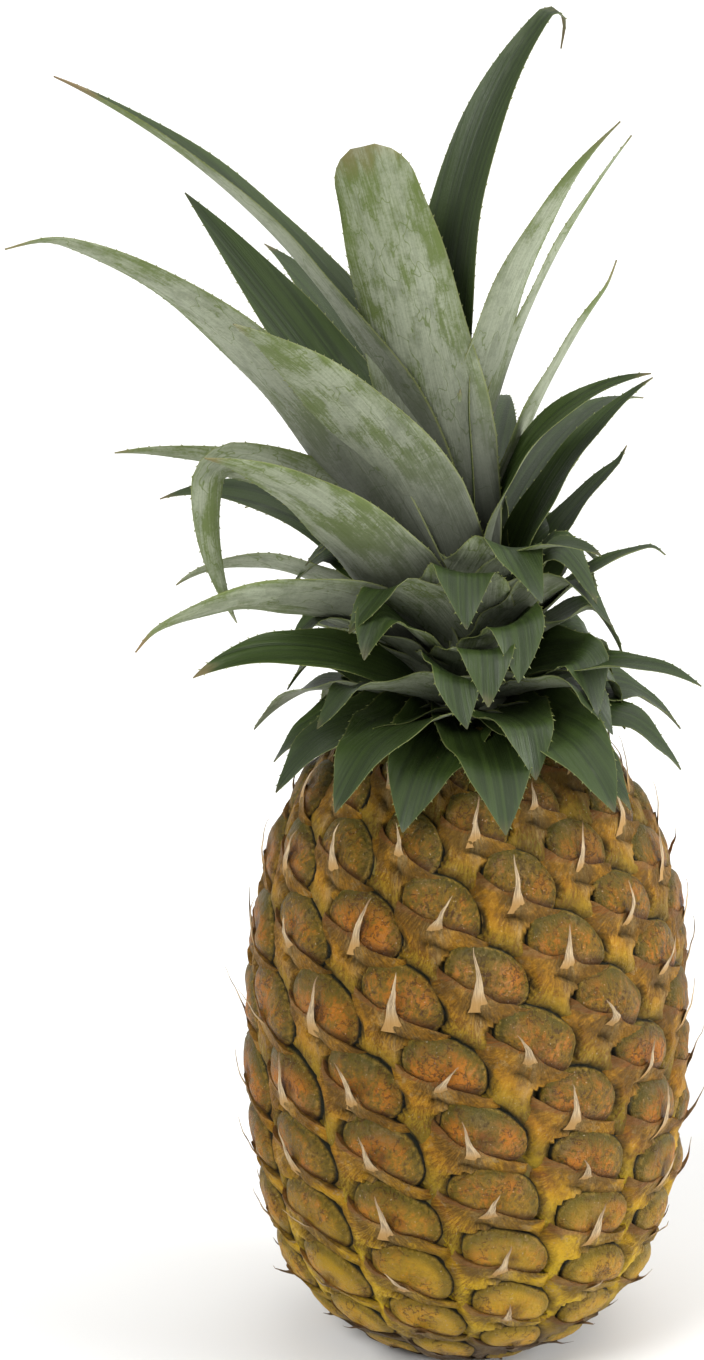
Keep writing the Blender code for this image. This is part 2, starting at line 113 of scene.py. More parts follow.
class Value:
    """A node's output, with which sums are written as with plain numbers."""

    __add__ = joined_by("ADD")
    __radd__ = joined_by("ADD", swapped=True)
    __sub__ = joined_by("SUBTRACT")
    __rsub__ = joined_by("SUBTRACT", swapped=True)
    __mul__ = joined_by("MULTIPLY")
    __truediv__ = joined_by("DIVIDE")
    __pow__ = joined_by("POWER")

    def __init__(self, nodes: "Nodes", socket: bpy.types.NodeSocket) -> None:
        """Keep the output and the nodes that it is one of."""
        self.nodes = nodes
        self.socket = socket

    def __abs__(self) -> "Value":
        """Return the value without its sign."""
        return self.nodes.math("ABSOLUTE", self)

    def ramp(self, low: float, high: float, start: float = 0.0, end: float = 1.0) -> "Value":
        """Return a smooth step from start to end as the value goes from low to high."""
        inputs = {0: self, 1: low, 2: high, 3: start, 4: end}
        return self.nodes.out("ShaderNodeMapRange", inputs, interpolation_type="SMOOTHSTEP")

    def noise(self, scale: float, detail: float, rough: float) -> "Value":
        """Return a noise pattern's strength at the place that the value is."""
        inputs = {"Vector": self, "Scale": scale, "Detail": detail, "Roughness": rough}
        return self.nodes.out("ShaderNodeTexNoise", inputs)

    def parts(self) -> "tuple[Value, Value, Value]":
        """Return a vector's three parts."""
        outputs = self.nodes.add("ShaderNodeSeparateXYZ", {0: self}).outputs
        return tuple(Value(self.nodes, socket) for socket in outputs)


Number = Value | float


class Nodes:
    """Adds nodes to a node tree and joins them."""

    def __init__(self, tree: bpy.types.NodeTree) -> None:
        """Keep the tree that the nodes go into."""
        self.tree = tree

    def give(self, node: bpy.types.Node, inputs: dict) -> None:
        """Join or set a node's inputs, which are told by name or number.

        Args:
            node: The node.
            inputs: A value of the tree or a plain one for each input.
        """
        for key, value in inputs.items():
            if isinstance(value, Value):
                self.tree.links.new(value.socket, node.inputs[key])
            else:
                node.inputs[key].default_value = value

    def add(self, kind: str, inputs: dict | None = None, **settings: object) -> bpy.types.Node:
        """Add a node.

        Args:
            kind: The node's type name.
            inputs: What each input takes, by name or number.
            settings: The node's own properties.

        Returns:
            The new node.
        """
        node = self.tree.nodes.new(kind)
        for name, value in settings.items():
            setattr(node, name, value)
        self.give(node, inputs or {})
        return node

    def out(self, kind: str, inputs: dict | None = None, output: int | str = 0, **settings: object) -> Value:
        """Add a node and return one of its outputs, told by name or number."""
        return Value(self, self.add(kind, inputs, **settings).outputs[output])

    def math(self, operation: str, *values: Number) -> Value:
        """Return the result of a sum on one or two numbers."""
        return self.out("ShaderNodeMath", dict(enumerate(values)), operation=operation)

    def vector(self, operation: str, first: Value, inputs: dict) -> Value:
        """Return the result of a sum on vectors."""
        return self.out("ShaderNodeVectorMath", {0: first, **inputs}, operation=operation)

    def join(self, *parts: Number) -> Value:
        """Return the vector made of three parts."""
        return self.out("ShaderNodeCombineXYZ", dict(enumerate(parts)))

    def coat(self, ground: Value | Colour, *layers: tuple[Number, Value | Colour]) -> Value:
        """Return a colour with other colours laid over it in turn, each by its own strength.

        Args:
            ground: The first colour.
            layers: The strength and the colour of each layer.

        Returns:
            The last colour.
        """
        for strength, colour in layers:
            ends = [end if isinstance(end, Value) else (*end, 1.0) for end in (ground, colour)]
            ground = self.out("ShaderNodeMix", {0: strength, 6: ends[0], 7: ends[1]}, 2, data_type="RGBA")
        return ground

    def read(self, name: str) -> Value:
        """Return the number that a material finds on the mesh under a name."""
        return self.out("ShaderNodeAttribute", output="Fac", attribute_name=name)

    def point(self) -> Value:
        """Return the place on the object that a material colours."""
        return self.out("ShaderNodeTexCoord", output="Object")

    def named(self, name: str, kind: str = "FLOAT") -> Value:
        """Return what the geometry holds under a name."""
        return self.out("GeometryNodeInputNamedAttribute", {"Name": name}, data_type=kind)

    def store(self, geometry: Value, name: str, value: Number) -> Value:
        """Return the geometry with a number held at each point under a name."""
        inputs = {"Geometry": geometry, "Name": name, "Value": value}
        return self.out("GeometryNodeStoreNamedAttribute", inputs, data_type="FLOAT", domain="POINT")

    def chance(self, seed: Value, low: float, high: float) -> Value:
        """Return a random number for each point."""
        return self.out("FunctionNodeRandomValue", {2: low, 3: high, "Seed": seed}, 1, data_type="FLOAT")

    def place(self) -> Value:
        """Return the place of each point."""
        return self.out("GeometryNodeInputPosition")

    def move(self, geometry: Value, how: str, vector: Value) -> Value:
        """Return the geometry moved by an Offset or to a Position."""
        return self.out("GeometryNodeSetPosition", {"Geometry": geometry, how: vector})

    def shape(self, body: Value) -> Value:
        """Return an object's geometry."""
        return self.out("GeometryNodeObjectInfo", {"Object": body}, "Geometry")

    def copies(self, points: Value, template: Value, scale: Value, rotation: Value) -> Value:
        """Return real copies of a template on points, scaled and turned."""
        inputs = {"Points": points, "Instance": template, "Scale": scale, "Rotation": rotation}
        return self.out("GeometryNodeRealizeInstances", {0: self.out("GeometryNodeInstanceOnPoints", inputs)})


@dataclass(frozen=True)
class Look:
    """What a finish gives its shader. The relief's depth is in metres."""

    colour: Value
    roughness: Number
    relief: Value | None = None
    depth: float = 0.0
    strength: float = 1.0
    shine: float = 0.5


@dataclass(frozen=True)
class Finish:
    """A surface finish. Each kind of surface paints itself in its own way."""

    name: str

    def material(self) -> bpy.types.Material:
        """Return the finish's material."""
        material = bpy.data.materials.new(self.name)
        material.use_nodes = True
        nodes = Nodes(material.node_tree)
        look = self.paint(nodes)
        inputs = {"Base Color": look.colour, "Roughness": look.roughness, "Specular IOR Level": look.shine}
        if look.relief is not None:
            bump = {"Height": look.relief, "Distance": look.depth, "Strength": look.strength}
            inputs["Normal"] = nodes.out("ShaderNodeBump", bump)
        nodes.give(material.node_tree.nodes["Principled BSDF"], inputs)
        return material

    def paint(self, nodes: Nodes) -> Look:
        """Return how the surface looks.

        Args:
            nodes: The material's nodes.

        Returns:
            Its colour, roughness and relief.
        """
        raise NotImplementedError


@dataclass(frozen=True)
class EyeFinish(Finish):
    """The finish of a part of the rind, which reads its place in its own eye."""

    def places(self, nodes: Nodes) -> tuple[Value, Value, Value, Value, Value]:
        """Return the place across and up the eye in mm, the eye's random number, the point and its height."""
        across, upward, chance = (nodes.read(f"eye_{name}") for name in ("x", "y", "random"))
        point = nodes.point()
        return across, upward, chance, point, point.parts()[2]

    @staticmethod
    def mingle(*patterns: tuple[Value, float]) -> Value:
        """Return the sum of patterns, each by its weight, round a middle of a half."""
        return sum(((pattern - 0.5) * weight for pattern, weight in patterns), 0.5)


@dataclass(frozen=True)
class DomeFinish(EyeFinish):
    """The smooth olive and orange skin of an eye, dark in the groove at its rim, partly with painted shade,
    and with a painted shadow where it tucks under the bract.
    """

    olive: Colour = (0.215, 0.118, 0.003)
    orange: Colour = (0.450, 0.145, 0.003)
    brown: Colour = (0.075, 0.026, 0.003)
    green: Colour = (0.066, 0.060, 0.004)
    # near-black: the groove's dark green line with painted shade added over it
    groove: Colour = (0.010, 0.011, 0.003)
    bloom: Colour = (0.290, 0.200, 0.110)
    yellow: Colour = (0.600, 0.350, 0.006)
    lip: Colour = (0.360, 0.230, 0.030)
    speck: Colour = (0.500, 0.420, 0.280)

    def paint(self, nodes: Nodes) -> Look:
        """Return how the surface looks.

        Args:
            nodes: The material's nodes.

        Returns:
            Its colour, roughness and relief.
        """
        across, upward, chance, point, height = self.places(nodes)
        rim = nodes.read("rim")
        patch = point.noise(95, 4, 0.6)
        fine = point.noise(750, 5, 0.7)
        reach = upward + 5.0
        fan = across / (reach + 5.0) * 7.0
        rays = nodes.join(fan, reach * 0.12, chance * 40.0).noise(2.0, 5, 0.7)
        mixed = self.mingle((patch, 1.0), (rays, 0.7), (fine, 1.0), (chance, 0.14))
        green = upward.ramp(4.0, 12.0) * chance.ramp(0.0, 0.6, 0.25, 0.85)
        low = height + patch * 0.06
        crack = abs(point.noise(240, 4, 0.6) - 0.5).ramp(0.022, 0.004) * patch.ramp(0.42, 0.58)
        grey = point.noise(130, 3, 0.5).ramp(0.50, 0.66) * fine.ramp(0.4, 0.62)
        near = nodes.math("SQRT", (across - SCAR_X) ** 2.0 + (upward - SCAR_Y) ** 2.0)
        scar = near.ramp(4.2, 1.0) * rays.ramp(0.35, 0.6, 0.35, 1.0)
        slit_shadow = upward + across * SLIT_SLOPE
        skin = nodes.coat(
            self.olive,
            (mixed.ramp(0.40, 0.66), self.orange),
            (mixed.ramp(0.42, 0.22, 0.0, 0.9), self.brown),
            (green * fine.ramp(0.3, 0.6, 0.5, 1.0), self.green),
            (low.ramp(0.110, 0.040, 0.0, 0.70), self.yellow),
            (low.ramp(0.165, 0.205, 0.0, 0.60), self.green),
            (rim.ramp(0.60, 0.84, 0.0, 0.55), self.green),
            (fine.ramp(0.54, 0.72, 0.0, 0.45), self.lip),
            (crack * 0.75, self.brown),
            (grey * 0.22, self.bloom),
            (scar * chance.ramp(0.2, 0.8, 0.2, 0.85), self.brown),
            # painted shadow: the dome's lower part, where it tucks under the bract's raised edge, is darkened
            # with brown
            (slit_shadow.ramp(3.2, 0.2, 0.0, 0.85), self.brown),
            (point.noise(1500, 2, 0.5).ramp(0.69, 0.75) * 0.6, self.speck),
            (rim.ramp(0.84, 0.9) * fine.ramp(0.4, 0.6, 0.0, 0.5), self.lip),
            # painted shade in the groove at the dome's rim, over the groove's dark green line
            (rim.ramp(0.915, 0.965), self.groove),
        )
        relief = fine + mixed * 1.5 - crack * 0.6
        return Look(skin, fine.ramp(0.3, 0.7, 0.36, 0.60), relief, 0.7 * MM, shine=0.3)


@dataclass(frozen=True)
class BractFinish(EyeFinish):
    """The papery amber bract under an eye, greener towards its point, with painted shade in its grooves
    beside the domes and on its side wall under the raised edge.
    """

    amber: Colour = (0.520, 0.220, 0.004)
    rust: Colour = (0.290, 0.082, 0.003)
    olive: Colour = (0.160, 0.088, 0.004)
    light: Colour = (0.680, 0.400, 0.030)
    paper: Colour = (0.560, 0.380, 0.160)
    green: Colour = (0.250, 0.180, 0.004)
    dark_green: Colour = (0.060, 0.062, 0.005)
    yellow: Colour = (0.800, 0.530, 0.008)
    # near-black: painted shade in the grooves, over their dark line, and on the side wall under the raised
    # edge
    groove: Colour = (0.018, 0.017, 0.005)
    dried: Colour = (0.110, 0.070, 0.045)
    speck: Colour = (0.550, 0.450, 0.280)

    def paint(self, nodes: Nodes) -> Look:
        """Return how the surface looks.

        Args:
            nodes: The material's nodes.

        Returns:
            Its colour, roughness and relief.
        """
        across, upward, chance, point, height = self.places(nodes)
        patch = point.noise(110, 4, 0.6)
        fine = point.noise(850, 5, 0.7)
        drop = 3.0 - (upward + across * SLIT_SLOPE)
        fan = across / (nodes.math("MAXIMUM", drop, 0.0) + 4.0)
        streaks = nodes.join(fan * 9.0, upward * 0.1, chance * 40.0).noise(1.6, 5, 0.7)
        mixed = self.mingle((patch, 0.9), (streaks, 0.5), (fine, 1.0))
        lower = drop + patch * 9.0
        low = height + patch * 0.06
        papery = (abs(across) + drop * 0.45).ramp(8.5, 2.5) * streaks.ramp(0.36, 0.56, 0.15, 0.95)
        edge = drop.ramp(3.9, 2.2) * streaks.ramp(0.3, 0.6, 0.1, 0.7)
        crease = abs(streaks - 0.5).ramp(0.03, 0.006) * patch.ramp(0.4, 0.58)
        flake = point.noise(320, 4, 0.65).ramp(0.56, 0.66) * drop.ramp(12.0, 3.0, 0.15, 0.7)
        skin = nodes.coat(
            self.amber,
            (mixed.ramp(0.46, 0.74), self.rust),
            (mixed.ramp(0.40, 0.20, 0.0, 0.6), self.light),
            (lower.ramp(11.0, 21.0, 0.0, 0.75), self.green),
            (lower.ramp(19.0, 28.0, 0.0, 0.7), self.dark_green),
            (low.ramp(0.115, 0.045, 0.0, 0.75), self.yellow),
            (low.ramp(0.175, 0.210, 0.0, 0.55), self.dark_green),
            (nodes.math("MAXIMUM", papery, edge), self.paper),
            (streaks.ramp(0.37, 0.30, 0.0, 0.6), self.rust),
            (crease * 0.7, self.rust),
            (flake, self.paper),
            (point.noise(1400, 2, 0.5).ramp(0.68, 0.75) * 0.6, self.speck),
            (nodes.read("beside") * mixed.ramp(0.25, 0.6, 0.25, 0.75), self.olive),
            (drop.ramp(3.4, 2.6) * streaks.ramp(0.35, 0.6, 0.8, 0.2), self.rust),
            # painted shade in the groove beside each dome, over its dark line
            (nodes.read("groove") * 0.9, self.groove),
            # painted shade: the pad's side wall under its raised edge is made near-black
            (nodes.read("wall").ramp(0.15, 0.7, 0.0, 0.95), self.groove),
            ((height + patch * 0.016).ramp(0.032, 0.018, 0.0, 0.9), self.dried),
        )
        relief = streaks * 2.2 + fine * 1.5 + (flake * 0.6 - crease)
        return Look(skin, streaks.ramp(0.3, 0.7, 0.48, 0.72), relief, 0.8 * MM, shine=0.3)


@dataclass(frozen=True)
class SpikeFinish(EyeFinish):
    """The dry cream spike of a bract."""

    cream: Colour = (0.560, 0.420, 0.250)
    grey: Colour = (0.250, 0.180, 0.105)
    tip: Colour = (0.200, 0.110, 0.050)
    foot: Colour = (0.400, 0.220, 0.060)
    dried: Colour = (0.130, 0.075, 0.040)

    def paint(self, nodes: Nodes) -> Look:
        """Return how the surface looks.

        Args:
            nodes: The material's nodes.

        Returns:
            Its colour, roughness and relief.
        """
        across, upward, chance, _, height = self.places(nodes)
        lift = nodes.read("lift")
        streaks = nodes.join(across * 2.4, upward * 0.16, chance * 30.0).noise(1.5, 5, 0.7)
        skin = nodes.coat(
            self.cream,
            (streaks.ramp(0.40, 0.62), self.grey),
            (lift.ramp(0.42, 0.12, 0.0, 0.9), self.foot),
            (lift.ramp(0.55, 1.0) * chance.ramp(0.1, 0.9, 0.1, 0.9), self.tip),
            ((height + chance * 0.02).ramp(0.040, 0.020, 0.0, 0.85), self.dried),
        )
        return Look(skin, 0.7, streaks, 0.5 * MM, 0.7, 0.3)


@dataclass(frozen=True)
class FleshFinish(Finish):
    """The rind's ground between and under the eyes, which shows only in the grooves and under the base."""

    green: Colour = (0.120, 0.090, 0.005)
    brown: Colour = (0.150, 0.070, 0.008)
    base: Colour = (0.240, 0.150, 0.060)

    def paint(self, nodes: Nodes) -> Look:
        """Return how the surface looks.

        Args:
            nodes: The material's nodes.

        Returns:
            Its colour, roughness and relief.
        """
        point = nodes.point()
        skin = nodes.coat(
            self.green,
            (point.noise(160, 5, 0.65).ramp(0.4, 0.62), self.brown),
            (point.parts()[2].ramp(0.006, 0.0005), self.base),
            (point.noise(600, 4, 0.7).ramp(0.45, 0.7, 0.0, 0.6), self.brown),
        )
        return Look(skin, 0.75, point.noise(400, 5, 0.7), 0.8 * MM, 0.7)


@dataclass(frozen=True)
class StalkFinish(Finish):
    """The dry, fibrous cut end of the stalk, ringed darker at its skin."""

    fibre: Colour = (0.430, 0.320, 0.180)
    dark: Colour = (0.190, 0.120, 0.060)
    skin_radius: float = 12.5 * MM
    skin_width: float = 1.5 * MM

    def paint(self, nodes: Nodes) -> Look:
        """Return how the surface looks.

        Args:
            nodes: The material's nodes.

        Returns:
            Its colour, roughness and relief.
        """
        point = nodes.point()
        across, deep, upward = point.parts()
        bundles = nodes.out(
            "ShaderNodeTexVoronoi", {"Vector": nodes.join(across, deep, upward * 0.15), "Scale": 900.0}
        )
        ring = nodes.math("SQRT", across**2.0 + deep**2.0)
        skin = nodes.coat(
            self.dark,
            (bundles.ramp(0.1, 0.6), self.fibre),
            (point.noise(180, 4, 0.6).ramp(0.42, 0.62, 0.0, 0.6), self.dark),
            (ring.ramp(self.skin_radius - self.skin_width, self.skin_radius, 0.0, 0.8), self.dark),
        )
        return Look(skin, 0.85, bundles, 0.6 * MM, 0.8)


@dataclass(frozen=True)
class BladeFinish(Finish):
    """A crown blade: dark and glossy green above, a grey bloom over green below, pale at its margins, and
    darker towards its root in its own colour and in painted shade.
    """

    above: Colour = (0.015, 0.027, 0.005)
    above_light: Colour = (0.036, 0.061, 0.010)
    bloom: Colour = (0.330, 0.362, 0.255)
    bloom_dark: Colour = (0.130, 0.150, 0.092)
    rubbed: Colour = (0.105, 0.145, 0.028)
    # dark root colour, which also stands in for shade deep in the crown
    root: Colour = (0.048, 0.052, 0.040)
    margin: Colour = (0.180, 0.200, 0.060)
    dried: Colour = (0.200, 0.140, 0.065)

    def paint(self, nodes: Nodes) -> Look:
        """Return how the surface looks.

        Args:
            nodes: The material's nodes.

        Returns:
            Its colour, roughness and relief.
        """
        along, under, chance = (nodes.read(name) for name in ("along", "under", "blade_random"))
        aside = abs(nodes.read("across"))
        lane = nodes.read("blade_x") * 1000.0
        run = nodes.read("blade_y") * 1000.0
        seed = chance * 50.0
        fibre = nodes.join(lane, run * 0.03, seed).noise(2.2, 4, 0.7)
        veins = nodes.join(lane * 0.9, run * 0.008, seed).noise(1.0, 2, 0.5)
        cloud = nodes.join(lane * 0.13, run * 0.035, seed).noise(1.0, 5, 0.6) + (fibre - 0.5) * 0.16
        grain = nodes.join(lane, run, seed).noise(1.3, 4, 0.7)
        blotch = nodes.join(lane * 0.25, run * 0.12, seed).noise(1.0, 5, 0.65)
        scrape = nodes.join(lane * 0.1, run * 0.05, seed).noise(1.0, 3, 0.55)
        rub = cloud + (fibre - 0.5 + (grain - 0.5)) * 0.22 + (blotch - 0.5) * 0.45
        side = aside.ramp(0.55, 0.98) * along.ramp(0.15, 0.6)
        ends = nodes.math("MAXIMUM", side, along.ramp(0.60, 1.0))
        length = run / nodes.math("MAXIMUM", along, 0.01)
        top = nodes.coat(
            self.above,
            (veins.ramp(0.38, 0.64, 0.0, 0.55), self.above_light),
            (aside.ramp(0.55, 1.0, 0.0, 0.5), self.above_light),
            (cloud.ramp(0.60, 0.72, 0.0, 0.20), self.bloom_dark),
        )
        below = nodes.coat(
            self.bloom,
            (fibre.ramp(0.35, 0.65, 0.0, 0.32), self.bloom_dark),
            (blotch.ramp(0.46, 0.62, 0.0, 0.45), self.bloom_dark),
            (grain.ramp(0.45, 0.70, 0.0, 0.30), self.bloom_dark),
            (rub.ramp(0.49, 0.65) * along.ramp(0.1, 0.5, 0.1, 0.8), self.rubbed),
            (abs(scrape - 0.47).ramp(0.008, 0.001, 0.0, 0.75), self.rubbed),
            (ends * rub.ramp(0.35, 0.6, 0.2, 0.75), self.rubbed),
            # darker towards the root: partly the blade's own darker root colour, partly painted shade deep in
            # the crown, reaching far up the long blades
            (along.ramp(0.68, 0.1, 0.0, 0.9) * length.ramp(60, 90, 0.5, 1.0), self.root),
        )
        skin = nodes.coat(
            top,
            (under, below),
            (aside.ramp(0.965, 1.0, 0.0, 0.6), self.margin),
            ((along + (cloud - 0.5) * 0.25).ramp(0.935, 1.01) * nodes.read("dry"), self.dried),
            (nodes.read("tooth") * 0.6, self.margin),
        )
        matt = under * 0.16 + grain.ramp(0.3, 0.7, 0.4, 0.5)
        return Look(skin, matt, fibre * 0.7 + veins * 1.5 + grain * 0.4, 0.35 * MM, 0.5, 0.35)


@dataclass(frozen=True)
class FloorFinish(Finish):
    """The pale, matt studio floor."""

    pale: Colour = (0.80, 0.80, 0.79)
    paler: Colour = (0.82, 0.82, 0.81)

    def paint(self, nodes: Nodes) -> Look:
        """Return how the surface looks.

        Args:
            nodes: The material's nodes.

        Returns:
            Its colour, roughness and relief.
        """
        skin = nodes.coat(self.pale, (nodes.point().noise(8, 2, 0.5).ramp(0.3, 0.7), self.paler))
        return Look(skin, 0.9, shine=0.1)


def linked(name: str, data: bpy.types.ID) -> bpy.types.Object:
    """Return a new object of a mesh, curve, light or camera, in the scene."""
    body = bpy.data.objects.new(name, data)
    bpy.context.scene.collection.objects.link(body)
    return body


def new_body(name: str, points: np.ndarray, faces: list, attributes: Table | None = None) -> bpy.types.Object:
    """Make a mesh object.

    Args:
        name: The object's name.
        points: The place of each vertex.
        faces: The vertices of each face.
        attributes: Numbers or vectors that the mesh holds at each vertex, by name.

    Returns:
        The object, in the scene.
    """
    mesh = bpy.data.meshes.new(name)
    mesh.from_pydata(np.asarray(points, float).tolist(), [], faces)
    for label, values in (attributes or {}).items():
        values = np.asarray(values, np.float32)
        kind, key = ("FLOAT", "value") if values.ndim == 1 else ("FLOAT_VECTOR", "vector")
        layer = mesh.attributes.new(label, kind, "POINT")
        layer.data.foreach_set(key, values.ravel())
    mesh.shade_smooth()
    return linked(name, mesh)


def outward(points: np.ndarray, faces: list) -> list:
    """Return a closed body's faces, all turned round if they point inwards.

    Args:
        points: The body's points.
        faces: The points of each face.

    Returns:
        The faces, which point outwards.
    """
    volume = 0.0
    for face in faces:
        a, b, c = (points[index] for index in face[:3])
        volume += float(np.dot(a, np.cross(b, c)))
        if len(face) == 4:
            volume += float(np.dot(a, np.cross(c, points[face[3]])))
    return faces if volume > 0 else [tuple(reversed(face)) for face in faces]


def ring_faces(rings: int, sides: int) -> list:
    """Return the faces between rings of points, each ring closed on itself.

    Args:
        rings: How many rings there are.
        sides: How many points a ring has.

    Returns:
        The points of each face.
    """
    faces = []
    for ring in range(rings - 1):
        for side in range(sides):
            a, b = ring * sides + side, ring * sides + (side + 1) % sides
            faces.append((a, b, b + sides, a + sides))
    return faces


def turned(profile: list[tuple[float, float]], sides: int, peak: float = 0.0) -> tuple[np.ndarray, list]:
    """Turn a profile round the Z axis.

    Args:
        profile: The body's radii and heights, from the bottom up.
        sides: How many steps a turn takes.
        peak: How far the middle of the top stands above its rim.

    Returns:
        The closed body's points and its faces.
    """
    turn = np.linspace(0, 2 * math.pi, sides, endpoint=False)
    rings = [np.stack([r * np.sin(turn), -r * np.cos(turn), np.full(sides, z)], -1) for r, z in profile]
    ends = [[0.0, 0.0, profile[0][1]], [0.0, 0.0, profile[-1][1] + peak]]
    points = np.concatenate([*rings, ends])
    faces = ring_faces(len(profile), sides)
    foot = len(profile) * sides
    for side in range(sides):
        beside = (side + 1) % sides
        faces.append((foot, beside, side))
        faces.append((foot + 1, foot - sides + side, foot - sides + beside))
    return points, outward(points, faces)


def settle(body: bpy.types.Object, sharp: float) -> None:
    """Make what a body's modifiers leave its own plain mesh.

    Args:
        body: The body.
        sharp: The angle in degrees from which an edge is sharp.
    """
    bpy.context.view_layer.update()
    graph = bpy.context.evaluated_depsgraph_get()
    evaluated = body.evaluated_get(graph)
    mesh = bpy.data.meshes.new_from_object(evaluated, preserve_all_data_layers=True, depsgraph=graph)
    body.modifiers.clear()
    body.data = mesh
    mesh.shade_smooth()
    mesh.set_sharp_from_angle(angle=math.radians(sharp))


def run_tree(
    body: bpy.types.Object,
    name: str,
    build: Callable[[Nodes, dict[str, Value]], Value],
    values: dict[str, object],
    sharp: float,
) -> None:
    """Build a geometry tree, run it on a body and keep the result as the body's own mesh.

    Args:
        body: The body.
        name: The tree's name.
        build: Adds the tree's nodes, given its inputs by name, and returns the geometry.
        values: What each of the tree's inputs takes, beside the body's own geometry.
        sharp: The angle in degrees from which the result's edges are sharp.
    """
    kinds = {bpy.types.Object: "Object", bpy.types.Material: "Material", int: "Int", float: "Float"}
    tree = bpy.data.node_groups.new(name, "GeometryNodeTree")
    for way in ("INPUT", "OUTPUT"):
        tree.interface.new_socket("Geometry", in_out=way, socket_type="NodeSocketGeometry")
    modifier = body.modifiers.new(name, "NODES")
    identifiers = {}
    for label, value in values.items():
        kind = next(kind for base, kind in kinds.items() if isinstance(value, base))
        socket = tree.interface.new_socket(label, in_out="INPUT", socket_type=f"NodeSocket{kind}")
        identifiers[label] = socket.identifier
    nodes = Nodes(tree)
    group = nodes.add("NodeGroupInput")
    given = {label: Value(nodes, group.outputs[label]) for label in ("Geometry", *values)}
    geometry = build(nodes, given)
    geometry = nodes.out("GeometryNodeSetMaterial", {0: geometry, 2: given["Material"]})
    nodes.add("NodeGroupOutput", {0: geometry})
    modifier.node_group = tree
    for label, identifier in identifiers.items():
        modifier[identifier] = values[label]
    settle(body, sharp)


def hand_over(body: bpy.types.Object, node: str) -> None:
    """Ride a finished piece on the model, in place of its node.

    Args:
        body: The piece.
        node: The node that it stands for.
    """
    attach(body, "root")
    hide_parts(node)
    body.data.calc_loop_triangles()
    LOG.info("%s: %d triangles", body.name, len(body.data.loop_triangles))


@dataclass(frozen=True)
class Outline:
    """The fruit's turned outline: two superellipse halves that meet at the widest level."""

    radius: float = 59.0 * MM
    widest: float = 95 * MM
    upper_reach: float = 93.5 * MM
    upper_power: float = 2.36
    lower_reach: float = 99.6 * MM
    lower_power: float = 3.40
    top: float = 181 * MM
    samples: int = 1441
    stride: int = 9
    margin: float = 0.4 * MM

    @cached_property
    def table(self) -> tuple[np.ndarray, np.ndarray, np.ndarray]:
        """Radius, height and distance along the outline, from the base to the top."""
        angle = np.radians(np.linspace(-89.5, 89.5, self.samples))
        level = np.abs(np.sin(angle))
        above = self.upper_reach * level ** (2 / self.upper_power)
        below = -self.lower_reach * level ** (2 / self.lower_power)
        radius = self.radius * np.cos(angle)
        height = self.widest + np.where(angle > 0, above, below)
        steps = np.hypot(np.diff(radius), np.diff(height))
        return radius, height, np.concatenate([[0.0], np.cumsum(steps)])

    def curve(self) -> bpy.types.Object:
        """Return the outline as a curve in the XZ plane, from the base up."""
        radius, height, _ = self.table
        data = bpy.data.curves.new("outline", "CURVE")
        data.dimensions = "3D"
        spline = data.splines.new("POLY")
        spline.points.add(len(radius) - 1)
        for point, across, up in zip(spline.points, radius, height):
            point.co = (across, 0.0, up, 1.0)
        return linked("outline", data)

    def inside(self, depth: float) -> list[tuple[float, float]]:
        """Return some of the outline's points, set inwards.

        Args:
            depth: How far under the surface.

        Returns:
            The radii and heights, between the flat base and the flat top.
        """
        radius, height, _ = self.table
        keep = (height > self.margin) & (height < self.top - self.margin)
        return list(zip((radius - depth)[keep][:: self.stride], height[keep][:: self.stride]))


@dataclass(frozen=True)
class EyeLattice:
    """The spiral of eyes: each eye stands one divergence round from the last, and a little further up."""

    outline: Outline = field(default_factory=Outline)
    rise: float = 1.41 * MM
    shrink: float = 0.3
    first_azimuth: float = -8.3
    first_above_widest: float = 3.7 * MM
    lower_twist: float = -0.7
    lower_widening: float = 0.08
    lower_flattening: float = 0.10
    twist_below: int = -8
    lower_eyes: float = 16.0
    flattening: float = 0.65
    lowest: float = 2.5 * MM
    highest: float = 179 * MM

    @cached_property
    def eyes(self) -> Table:
        """The eyes in the flat plan, where X is the arc at the widest level and Y the way up the outline."""
        radius, height, along = self.outline.table
        width = (radius[1:] + radius[:-1]) / (2 * self.outline.radius)
        number = np.concatenate([[0.0], np.cumsum(np.diff(along) / (self.rise * width**self.shrink))])
        middle = np.interp(self.outline.widest, height, along)
        number -= np.interp(middle + self.first_above_widest, along, number)
        first = math.ceil(np.interp(self.lowest, height, number))
        last = math.floor(np.interp(self.highest, height, number))
        eye = np.arange(first, last + 1)
        twist = self.lower_twist * np.maximum(0, self.twist_below - eye)
        azimuth = (self.first_azimuth + DIVERGENCE * eye + twist + 180) % 360 - 180
        up = np.interp(eye, number, along)
        size = np.interp(up, along, radius) / self.outline.radius
        lower = np.clip((self.twist_below - eye) / self.lower_eyes, 0, 1)
        wide = 1 + self.lower_widening * lower
        tall = (1 - self.lower_flattening * lower) * size**self.shrink
        scale = np.stack([wide, tall, size**self.flattening], -1)
        return {"x": np.radians(azimuth) * self.outline.radius, "y": up, "size": scale}

    def points(self, name: str) -> bpy.types.Object:
        """Return the eyes' places as loose points."""
        eyes = self.eyes
        places = np.stack([eyes["x"], eyes["y"], np.zeros_like(eyes["x"])], -1)
        return new_body(name, places, [], {"size": eyes["size"]})

    def centres(self, right: float, above: float) -> bpy.types.Object:
        """Return the domes' centres as loose points.

        Args:
            right: How far right of its eye's point a dome's centre is.
            above: How far above it.

        Returns:
            The body of points, also a turn to each side, so that there is no seam.
        """
        eyes = self.eyes
        turn = 2 * math.pi * self.outline.radius
        up = eyes["y"] + above * eyes["size"][:, 1]
        place = np.stack([eyes["x"] + right, up, np.zeros_like(up)], -1)
        places = [place + (shift, 0.0, 0.0) for shift in (-turn, 0.0, turn)]
        return new_body("centres", np.concatenate(places), [])


